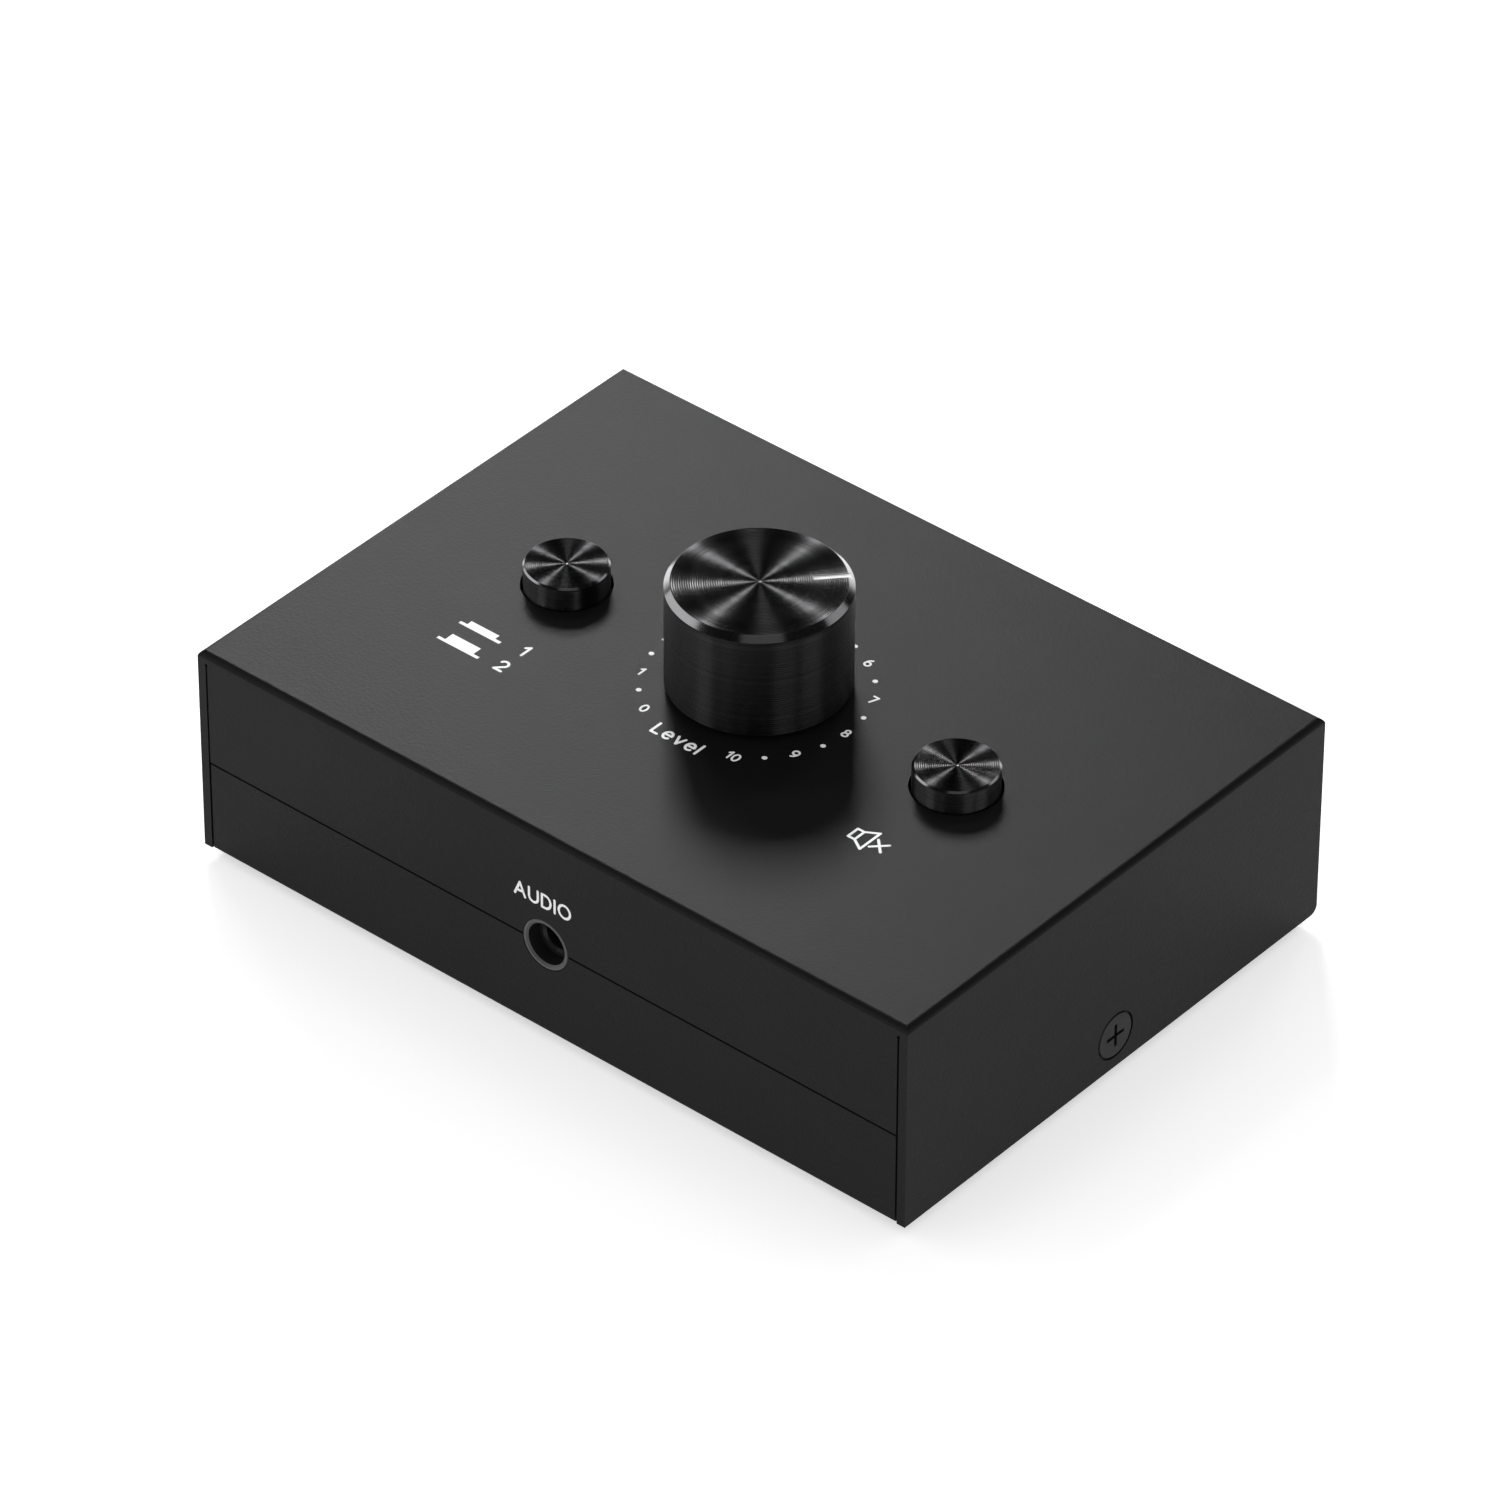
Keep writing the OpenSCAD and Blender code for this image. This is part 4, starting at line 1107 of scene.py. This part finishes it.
@dataclass
class ButtonCaps(TurnedPart):
    """The two small turned caps."""

    wall: float = 1.1 * MM
    roof: float = 1.6 * MM
    boss: float = 3.1 * MM
    boss_length: float = 5.4 * MM
    stem_half: float = 1.63 * MM

    def cap(self, radius: float, low: float, high: float) -> Piece:
        """Turns one cap on the Z axis, with the square hole for its plunger."""
        ceiling = high - self.roof
        boss_end = ceiling - self.boss_length
        outline = [
            *self.shell(radius, high, low),
            (radius - self.wall, low),
            (radius - self.wall, ceiling),
            (self.boss, ceiling),
            (self.boss, boss_end),
            (0, boss_end),
        ]
        cap = turned("cap", outline, self.steps)
        half = self.stem_half
        carve(cap, block("socket", (-half, -half, boss_end - self.spare), (half, half, ceiling)))
        return cap

    def build(self) -> None:
        """Builds both caps where the frame has them."""
        for side in Side:
            node = f"{side.switch}_button_cap"
            low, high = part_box(node)
            centre = ((low.x + high.x) / 2, (low.y + high.y) / 2, 0)
            radius = (high.x - low.x) / 2
            cap = self.cap(radius, low.z, high.z)
            close_up(cap)
            cap.location = centre
            settle(cap)
            cap.name = f"{side.switch}_cap_turned"
            self.dress_turned(cap, side.switch, centre, radius, high.z)
            hand_over(cap, f"{side.switch}_button", "black_anodised", node)


@dataclass
class ReturnSprings:
    """The coil springs under the plungers, built at one length; the real ones shorten as the buttons go
    down.
    """

    coil_radius: float = 1.65 * MM
    wire_radius: float = 0.17 * MM
    turns: int = 5
    steps: int = 24
    wire_sides: int = 10
    keep: float = 0.6

    def build(self) -> None:
        """Winds one spring for each switch."""
        finish = PLATED_STEEL.make()
        for switch in (side.switch for side in Side):
            node = f"{switch}_switch_spring"
            low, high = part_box(node)
            middle = (low + high) / 2
            start = low.z + self.wire_radius
            rise = high.z - self.wire_radius - start
            bpy.ops.mesh.primitive_circle_add(
                vertices=self.wire_sides,
                radius=self.wire_radius,
                location=(self.coil_radius, 0, 0),
                rotation=(math.pi / 2, 0, 0),
            )
            spring = bpy.context.object
            spring.name = f"{switch}_spring_coil"
            settle(spring)
            steps = self.steps * self.turns
            wound = self.turns * math.tau
            apply_modifier(
                spring, "SCREW", angle=wound, screw_offset=rise, steps=steps, render_steps=steps
            )
            with editing(spring):
                bpy.ops.mesh.select_all(action="SELECT")
                bpy.ops.mesh.fill_holes(sides=self.wire_sides)
            close_up(spring)
            spring.location = (middle.x, middle.y, start)
            settle(spring)
            smooth(spring)
            dress(spring, finish)
            hand_over(spring, "case", "plated_steel", node)
            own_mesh(spring)


# The points of one pen stroke
Stroke = Sequence[tuple[float, float]]
# The angle between two points of a bow
BOW_STEP_DEG = 15


def bow(
    middle: tuple[float, float], radii: tuple[float, float], start_deg: float, end_deg: float
) -> Stroke:
    """Gives the points of an arc of an ellipse."""
    count = round(abs(end_deg - start_deg) / BOW_STEP_DEG)
    points = []
    for step in range(count + 1):
        turn = math.radians(start_deg + (end_deg - start_deg) * step / count)
        points.append((middle[0] + radii[0] * math.cos(turn), middle[1] + radii[1] * math.sin(turn)))
    return points


@dataclass(frozen=True)
class Letter:
    """A letter or number as the pen strokes that draw it, in parts of a capital's height."""

    width: float
    strokes: tuple[Stroke, ...]


LETTERS = {
    "0": Letter(0.62, (bow((0.31, 0.5), (0.31, 0.5), 90, 450),)),
    "1": Letter(0.28, (((0, 0.76), (0.28, 1)), ((0.28, 1), (0.28, 0)))),
    "2": Letter(0.62, ((*bow((0.3, 0.71), (0.3, 0.29), 160, -30), (0, 0)), ((0, 0), (0.62, 0)))),
    "3": Letter(
        0.58,
        (bow((0.28, 0.76), (0.26, 0.24), 150, -90), bow((0.28, 0.26), (0.3, 0.26), 90, -150)),
    ),
    "4": Letter(0.62, (((0.44, 0), (0.44, 1)), ((0.44, 1), (0, 0.28)), ((0, 0.28), (0.62, 0.28)))),
    "5": Letter(
        0.6,
        (((0.55, 1), (0.12, 1)), ((0.12, 1), (0.07, 0.56)), bow((0.29, 0.33), (0.31, 0.33), 135, -150)),
    ),
    "6": Letter(
        0.62,
        (bow((0.31, 0.3), (0.31, 0.3), 90, 450), bow((0.62, 0.3), (0.62, 0.7), 180, 105)),
    ),
    "7": Letter(0.58, (((0, 1), (0.58, 1)), ((0.58, 1), (0.2, 0)))),
    "8": Letter(0.6, (bow((0.3, 0.76), (0.24, 0.24), 90, 450), bow((0.3, 0.26), (0.3, 0.26), 90, 450))),
    "9": Letter(0.62, (bow((0.31, 0.7), (0.31, 0.3), 90, 450), bow((0, 0.7), (0.62, 0.7), 0, -75))),
    "A": Letter(0.84, (((0, 0), (0.42, 1)), ((0.42, 1), (0.84, 0)), ((0.15, 0.34), (0.69, 0.34)))),
    "D": Letter(0.72, (((0, 0), (0, 1)), ((0, 1), *bow((0.28, 0.5), (0.44, 0.5), 90, -90), (0, 0)))),
    "I": Letter(0.0, (((0, 0), (0, 1)),)),
    "L": Letter(0.5, (((0, 1), (0, 0)), ((0, 0), (0.5, 0)))),
    "O": Letter(0.94, (bow((0.47, 0.5), (0.47, 0.5), 90, 450),)),
    "U": Letter(0.74, (((0, 1), *bow((0.37, 0.37), (0.37, 0.37), 180, 360), (0.74, 1)),)),
    "e": Letter(0.61, (((0.02, 0.38), (0.6, 0.38)), bow((0.31, 0.36), (0.3, 0.36), 5, 312))),
    "l": Letter(0.0, (((0, 0), (0, 1)),)),
    "v": Letter(0.56, (((0, 0.72), (0.28, 0)), ((0.28, 0), (0.56, 0.72)))),
}


@dataclass
class Pen:
    """A pen that leaves flat beads of ink with round ends."""

    ink_height: float = 0.02 * MM
    end_steps: tuple[float, ...] = (30, 55, 75, 90)
    sides: int = 3

    def stroke(self, points: Stroke, width: float) -> Piece:
        """Draws one stroke on the XY plane, a closed one where its ends meet."""
        line = [Vector((x, y, 0)) for x, y in points]
        closed = len(line) > 2 and (line[0] - line[-1]).length < SAME_POINT
        if closed:
            line, radii = line[:-1], [1.0] * (len(line) - 1)
        else:
            line, radii = self.round_ends(line, width)
        data = bpy.data.curves.new("stroke", "CURVE")
        data.dimensions = "3D"
        data.twist_mode = "Z_UP"
        data.bevel_depth = width / 2
        data.bevel_resolution = self.sides
        path = data.splines.new("POLY")
        path.points.add(len(line) - 1)
        for point, place, radius in zip(path.points, line, radii):
            point.co = (*place, 1)
            point.radius = radius
        path.use_cyclic_u = closed
        piece = bpy.data.objects.new("stroke", data)
        bpy.context.scene.collection.objects.link(piece)
        select_only(piece)
        bpy.ops.object.convert(target="MESH")
        return bpy.context.object

    def round_ends(self, line: list[Vector], width: float) -> tuple[list[Vector], list[float]]:
        """Lengthens a line by half a width at each end, over which its bead grows round.

        Args:
            line: The stroke's own points.
            width: The stroke's width.

        Returns:
            The longer line, and the bead's thickness at each of its points.
        """
        head = (line[0] - line[1]).normalized() * width / 2
        tail = (line[-1] - line[-2]).normalized() * width / 2
        turns = [math.radians(step) for step in self.end_steps]
        before = [line[0] + head * math.sin(turn) for turn in reversed(turns)]
        after = [line[-1] + tail * math.sin(turn) for turn in turns]
        swell = [max(0.0, math.cos(turn)) for turn in turns]
        return before + line + after, swell[::-1] + [1.0] * len(line) + swell

    def draw(self, strokes: Sequence[Stroke], width: float) -> Piece:
        """Draws several strokes as one flat mark."""
        beads = [self.stroke(points, width) for points in strokes]
        select_only(beads[0])
        for bead in beads[1:]:
            bead.select_set(True)
        if len(beads) > 1:
            bpy.ops.object.join()
        mark = bpy.context.object
        mark.scale.z = self.ink_height / (width / 2)
        settle(mark)
        close_up(mark)
        return mark


@dataclass(frozen=True)
class KeySign:
    """A bar with a block on it, the sign for a button that stands out or is pressed in."""

    name: str
    left: float
    right: float
    bottom: float
    top: float
    block_top: float
    inset: float = 0.98 * MM


@dataclass(frozen=True)
class Loudspeaker:
    """A loudspeaker seen from the side, with a cross after it, the sign for mute."""

    middle_y: float = -14.24 * MM
    back: float = 26.1 * MM
    neck: float = 27.05 * MM
    front: float = 28.62 * MM
    throat: float = 0.87 * MM
    mouth: float = 1.83 * MM
    cross: float = 29.98 * MM
    arm: float = 0.82 * MM

    def strokes(self) -> list[Stroke]:
        """Gives the pen strokes of its box, its horn and its cross."""
        low, high = self.middle_y - self.throat, self.middle_y + self.throat
        wide_low, wide_high = self.middle_y - self.mouth, self.middle_y + self.mouth
        box = [(self.back, low), (self.back, high), (self.neck, high), (self.neck, low), (self.back, low)]
        horn = [(self.neck, high), (self.front, wide_high), (self.front, wide_low), (self.neck, low)]
        strokes = [*zip(box, box[1:]), *zip(horn, horn[1:])]
        for lean in (-self.arm, self.arm):
            start = (self.cross - self.arm, self.middle_y - lean)
            strokes.append((start, (self.cross + self.arm, self.middle_y + lean)))
        return strokes


@dataclass
class Legends:
    """The white print on the top and over the front socket."""

    pen: Pen = field(default_factory=Pen)
    thickness: float = 0.02 * MM
    smooth_deg: float = 60
    sunk: float = 0.006 * MM
    spacing: float = 0.13
    dial_radius: float = 13.65 * MM
    dial_centre: tuple[float, float] = (0.07 * MM, -0.46 * MM)
    first_deg: float = 239.04
    step_deg: float = 30
    last_number: int = 10
    number_height: float = 1.5 * MM
    number_stroke: float = 0.27 * MM
    dot_size: float = 0.66 * MM
    dot_dash: float = 1 / 40
    word_height: float = 2.15 * MM
    word_stroke: float = 0.35 * MM
    dial_word_place: tuple[float, float] = (-0.33 * MM, -14.0 * MM)
    socket_word_x: float = -0.35 * MM
    socket_word_rise: float = 4.725 * MM
    sign_stroke: float = 0.34 * MM
    key_signs: tuple[KeySign, ...] = (
        KeySign(
            "sign_in",
            left=-34.05 * MM,
            right=-27.78 * MM,
            bottom=-13.90 * MM,
            top=-13.45 * MM,
            block_top=-12.69 * MM,
        ),
        KeySign(
            "sign_out",
            left=-34.07 * MM,
            right=-27.76 * MM,
            bottom=-17.70 * MM,
            top=-17.27 * MM,
            block_top=-15.95 * MM,
        ),
    )
    key_numbers: tuple[tuple[str, float, float], ...] = (
        ("1", -24.62 * MM, -12.95 * MM),
        ("2", -24.68 * MM, -16.8 * MM),
    )
    mute_sign: Loudspeaker = Loudspeaker()

    def __post_init__(self) -> None:
        """Reads the printed faces from the frame."""
        low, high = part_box("top_cover")
        self.top = high.z
        self.front = low.y
        self.middle_z = (low.z + high.z) / 2
        self.ink = PRINT_WHITE.make()

    def print_top(self, mark: Piece, name: str) -> None:
        """Prints a flat mark on the top."""
        mark.name = name
        turn_to(mark, Matrix.Identity(4), (0, 0, self.top))
        self.finish_mark(mark)

    def print_front(self, mark: Piece, name: str) -> None:
        """Prints a flat mark on the front wall."""
        mark.name = name
        turn_to(mark, Matrix.Rotation(math.pi / 2, 4, "X"), (0, self.front, 0))
        self.finish_mark(mark)

    def finish_mark(self, mark: Piece) -> None:
        """Smooths, dresses and hands over a printed mark."""
        smooth(mark, self.smooth_deg)
        dress(mark, self.ink)
        hand_over(mark, "case", "white_paint")

    def write(self, text: str, middle: tuple[float, float], height: float, stroke: float) -> Piece:
        """Writes a word flat on the XY plane.

        Args:
            text: The word.
            middle: The middle of the word.
            height: The height of a capital.
            stroke: The width of its strokes.

        Returns:
            The word as one mark.
        """
        size = height - stroke
        gap = stroke + self.spacing * height
        letters = [LETTERS[letter] for letter in text]
        left = middle[0] - (sum(letter.width for letter in letters) * size + gap * (len(text) - 1)) / 2
        foot = middle[1] - size / 2
        strokes = []
        for letter in letters:
            for points in letter.strokes:
                strokes.append([(left + x * size, foot + y * size) for x, y in points])
            left += letter.width * size + gap
        return self.pen.draw(strokes, stroke)

    def dial(self) -> None:
        """Prints the numbers of the dial, the dots between them and the word under it."""
        for number in range(self.last_number + 1):
            angle = math.radians(self.first_deg - number * self.step_deg)
            text = self.write(str(number), self.on_dial(angle), self.number_height, self.number_stroke)
            self.print_top(text, f"dial_number_{number}")
            if number < self.last_number:
                x, y = self.on_dial(angle - math.radians(self.step_deg / 2))
                dot = self.pen.draw([((x, y), (x + self.dot_size * self.dot_dash, y))], self.dot_size)
                self.print_top(dot, f"dial_dot_{number}")
        word = self.write("Level", self.dial_word_place, self.word_height, self.word_stroke)
        self.print_top(word, "dial_word")

    def on_dial(self, angle: float) -> tuple[float, float]:
        """Gives a point on the dial's circle."""
        x, y = self.dial_centre
        return x + self.dial_radius * math.cos(angle), y + self.dial_radius * math.sin(angle)

    def print_key_sign(self, sign: KeySign) -> None:
        """Prints one of the two signs beside the select button."""
        middle_x, middle_y = (sign.left + sign.right) / 2, (sign.bottom + sign.top) / 2
        block_half = middle_x - sign.left - sign.inset
        bpy.ops.mesh.primitive_plane_add(size=1, location=(middle_x, middle_y, -self.sunk))
        mark = bpy.context.object
        mark.scale = (sign.right - sign.left, sign.top - sign.bottom, 1)
        settle(mark)
        with editing(mark, Parts.EDGES):
            pick_edges(mark, lambda a, b: a.y > middle_y and b.y > middle_y)
            rise = (0, sign.block_top - sign.top, 0)
            bpy.ops.mesh.extrude_region_move(TRANSFORM_OT_translate={"value": rise})
        for end in (sign.left + sign.inset, sign.right - sign.inset):
            with editing(mark):
                bpy.ops.mesh.select_all(action="SELECT")
                bpy.ops.mesh.bisect(plane_co=(end, 0, 0), plane_no=(1, 0, 0))
        with editing(mark, Parts.FACES):
            pick_faces(mark, lambda at, normal: at.y > sign.top and abs(at.x - middle_x) > block_half)
            bpy.ops.mesh.delete(type="FACE")
        with editing(mark, Parts.FACES):
            bpy.ops.mesh.select_all(action="SELECT")
            bpy.ops.mesh.extrude_region_move(TRANSFORM_OT_translate={"value": (0, 0, self.thickness)})
        close_up(mark)
        self.print_top(mark, sign.name)

    def build(self) -> None:
        """Prints all of it."""
        self.dial()
        for sign in self.key_signs:
            self.print_key_sign(sign)
        for number, x, y in self.key_numbers:
            text = self.write(number, (x, y), self.word_height, self.sign_stroke)
            self.print_top(text, f"sign_number_{number}")
        self.print_top(self.pen.draw(self.mute_sign.strokes(), self.sign_stroke), "sign_mute")
        place = (self.socket_word_x, self.middle_z + self.socket_word_rise)
        self.print_front(self.write("AUDIO", place, self.word_height, self.sign_stroke), "socket_word")


def dress_nodes() -> None:
    """Gives every CAD node that keeps its shape the finish of its slot."""
    made: dict[str, bpy.types.Material] = {}
    for part in frame["record"]["subparts"]:
        slot, node = part["material_slot"], frame["nodes"][part["node"]]
        if node.hide_render:
            continue
        if slot not in made:
            made[slot] = SLOT_FINISH[slot].make()
        node.material_slots[0].material = made[slot]


@dataclass(frozen=True)
class Softbox:
    """A soft rectangular lamp that faces the object from a direction."""

    name: str
    azimuth_deg: float
    elevation_deg: float
    distance: float
    width: float
    height: float
    radiance: float
    aim: tuple[float, float, float] = (0, 0, 30 * MM)

    def direction(self, eye: Vector) -> Vector:
        """Gives the direction from the object to the lamp."""
        azimuth, elevation = math.radians(self.azimuth_deg), math.radians(self.elevation_deg)
        flat = math.cos(elevation)
        return Vector((flat * math.cos(azimuth), flat * math.sin(azimuth), math.sin(elevation)))

    def upright(self, eye: Vector) -> Vector:
        """Gives the direction that the lamp's height runs along."""
        return Vector((0, 0, 1))

    def build(self, eye: Vector) -> None:
        """Hangs the lamp.

        Args:
            eye: The direction from the object to the camera.
        """
        back = self.direction(eye)
        across = self.upright(eye).cross(back).normalized()
        lamp = bpy.data.lights.new(self.name, "AREA")
        lamp.shape = "RECTANGLE"
        lamp.size, lamp.size_y = self.width, self.height
        lamp.energy = self.radiance * math.pi * self.width * self.height
        holder = bpy.data.objects.new(self.name, lamp)
        bpy.context.scene.collection.objects.link(holder)
        turn = Matrix((across, back.cross(across), back)).transposed()
        holder.matrix_world = Matrix.Translation(Vector(self.aim) + back * self.distance) @ turn.to_4x4()
        holder.visible_camera = False


@dataclass(frozen=True)
class GrooveLamp(Softbox):
    """A lamp that the grooves of the turned tops mirror as a bright line through their centres.

    Its azimuth is that of the line, and its elevation is the slope of the grooves that mirror it.
    """

    slope_step_deg: float = 1

    def mirrored(self, eye: Vector, slope_deg: float) -> Vector:
        """Gives the direction in which a groove's side of some slope mirrors the camera's view."""
        line, slope = math.radians(self.azimuth_deg), math.radians(slope_deg)
        half = Vector((math.sin(slope) * math.cos(line), math.sin(slope) * math.sin(line), math.cos(slope)))
        return 2 * half.dot(eye) * half - eye

    def direction(self, eye: Vector) -> Vector:
        """Gives the direction in which the grooves mirror the camera's view."""
        return self.mirrored(eye, self.elevation_deg)

    def upright(self, eye: Vector) -> Vector:
        """Gives the direction in which the mirrored view moves as the grooves get steeper."""
        steeper = self.mirrored(eye, self.elevation_deg + self.slope_step_deg)
        return steeper - self.mirrored(eye, self.elevation_deg - self.slope_step_deg)


@dataclass
class Studio:
    """The floor, the light and the camera."""

    floor_half: float = 12.0
    floor_colour: Colour = (0.8, 0.8, 0.8)
    floor_roughness: float = 0.9
    floor_specular: float = 0.1
    floor_glow: float = 0.5
    ambient: float = 0.6
    horizon_from: float = 0.01
    horizon_to: float = 0.1
    camera_place: tuple[float, float, float] = (589.37 * MM, -694.76 * MM, 722.32 * MM)
    camera_turn_deg: tuple[float, float, float] = (52.38424, -0.14559, 40.48478)
    lens: float = 238.22
    sensor: float = 36.0
    camera_reach: float = 100.0
    # Each lamp's name, azimuth, elevation, distance, width, height and radiance
    lamps: tuple[Softbox, ...] = (
        Softbox("lamp_sheen", 135.5, 32.3, 1.4, 0.3, 0.33, 30.5),
        GrooveLamp("lamp_line_across", 0, 13.5, 3.6, 0.15, 0.6, 18.0),
        GrooveLamp("lamp_line_along", 271, 13.5, 3.6, 0.15, 0.6, 15.5),
        GrooveLamp("lamp_line_diagonal", 225, 13.5, 3.6, 0.15, 0.6, 24.0),
        GrooveLamp("lamp_line_weak", 136, 13.5, 3.6, 0.15, 0.6, 1.0),
        Softbox("lamp_left", 205, 20, 1.5, 1.58, 1.03, 0.92),
        Softbox("lamp_front_left", 247, 12, 1.2, 0.42, 0.4, 2.5),
        Softbox("lamp_front_middle", 275, 12, 1.2, 0.3, 0.4, 0.6),
        Softbox("lamp_front_right", 338, 12, 1.2, 0.5, 0.42, 1.3),
        Softbox("lamp_side_right", 10, 13, 1.2, 0.5, 0.4, 1.7),
        Softbox("lamp_right", 55, 26, 1.2, 0.58, 0.36, 0.5),
        Softbox("lamp_front", 315, 52, 1.5, 1.0, 0.4, 0.11),
    )

    def rays(self, sheet: Sheet, first: Ray, *others: Ray) -> Socket:
        """Gives 1 for the rays of the named kinds, and 0 for the rest."""
        path = sheet.add("LightPath")
        seen = path.outputs[first.value]
        for ray in others:
            seen = sheet.math("MAXIMUM", seen, path.outputs[ray.value])
        return seen

    def floor(self) -> None:
        """Lays a pale floor that keeps the object's shadow."""
        bpy.ops.mesh.primitive_plane_add(size=2 * self.floor_half, location=(0, 0, 0))
        floor = bpy.context.object
        floor.name = "studio_floor"
        sheet = Sheet(bpy.data.materials.new("floor_paper"))
        sheet.set(Base_Color=(*self.floor_colour, 1), Emission_Color=(1, 1, 1, 1))
        sheet.set(Roughness=self.floor_roughness, Specular_IOR_Level=self.floor_specular)
        seen = self.rays(sheet, *Ray)
        sheet.link(sheet.math("MULTIPLY", seen, self.floor_glow), sheet.surface.inputs["Emission Strength"])
        floor.data.materials.append(sheet.owner)

    def world(self) -> None:
        """Sets a white backdrop, of which glossy surfaces see a low band, in an even dim light."""
        world = bpy.data.worlds.new("studio_world")
        bpy.context.scene.world = world
        sheet = Sheet(world)
        coordinates = sheet.add("TexCoord")
        parts = sheet.add("SeparateXYZ")
        sheet.link(coordinates.outputs["Generated"], parts.inputs["Vector"])
        low_band = sheet.span(parts.outputs["Z"], (self.horizon_from, self.horizon_to), (1, 0), Fade.SOFT)
        mirrored = sheet.math("MULTIPLY", low_band, self.rays(sheet, Ray.GLOSSY))
        white = sheet.math("MAXIMUM", mirrored, self.rays(sheet, Ray.CAMERA, Ray.TRANSMISSION))
        unseen = sheet.math("SUBTRACT", 1, self.rays(sheet, *Ray))
        glow = sheet.math("ADD", white, sheet.math("MULTIPLY", unseen, self.ambient))
        sheet.set(Color=(1, 1, 1, 1))
        sheet.link(glow, sheet.surface.inputs["Strength"])

    def camera(self) -> None:
        """Puts the camera at the photograph's viewpoint."""
        lens = bpy.data.cameras.new("camera")
        lens.sensor_width = self.sensor
        lens.lens = self.lens
        lens.clip_end = self.camera_reach
        holder = bpy.data.objects.new("camera", lens)
        bpy.context.scene.collection.objects.link(holder)
        holder.location = self.camera_place
        holder.rotation_euler = [math.radians(turn) for turn in self.camera_turn_deg]
        bpy.context.scene.camera = holder

    def build(self) -> None:
        """Sets up the whole studio."""
        bpy.context.scene.view_settings.view_transform = "Standard"
        self.floor()
        self.world()
        self.camera()
        for lamp in self.lamps:
            lamp.build((Vector(self.camera_place) - Vector(lamp.aim)).normalized())


def main() -> None:
    """Builds the studio and every part of the object."""
    logging.basicConfig(level=logging.INFO, format="%(name)s: %(message)s")
    Studio().build()
    case_parts = (Enclosure, SideScrews, RubberFeet, JackCollars)
    for part in (*case_parts, VolumeKnob, ButtonCaps, ReturnSprings, Legends):
        part().build()
    dress_nodes()


if __name__ == "__main__":
    main()
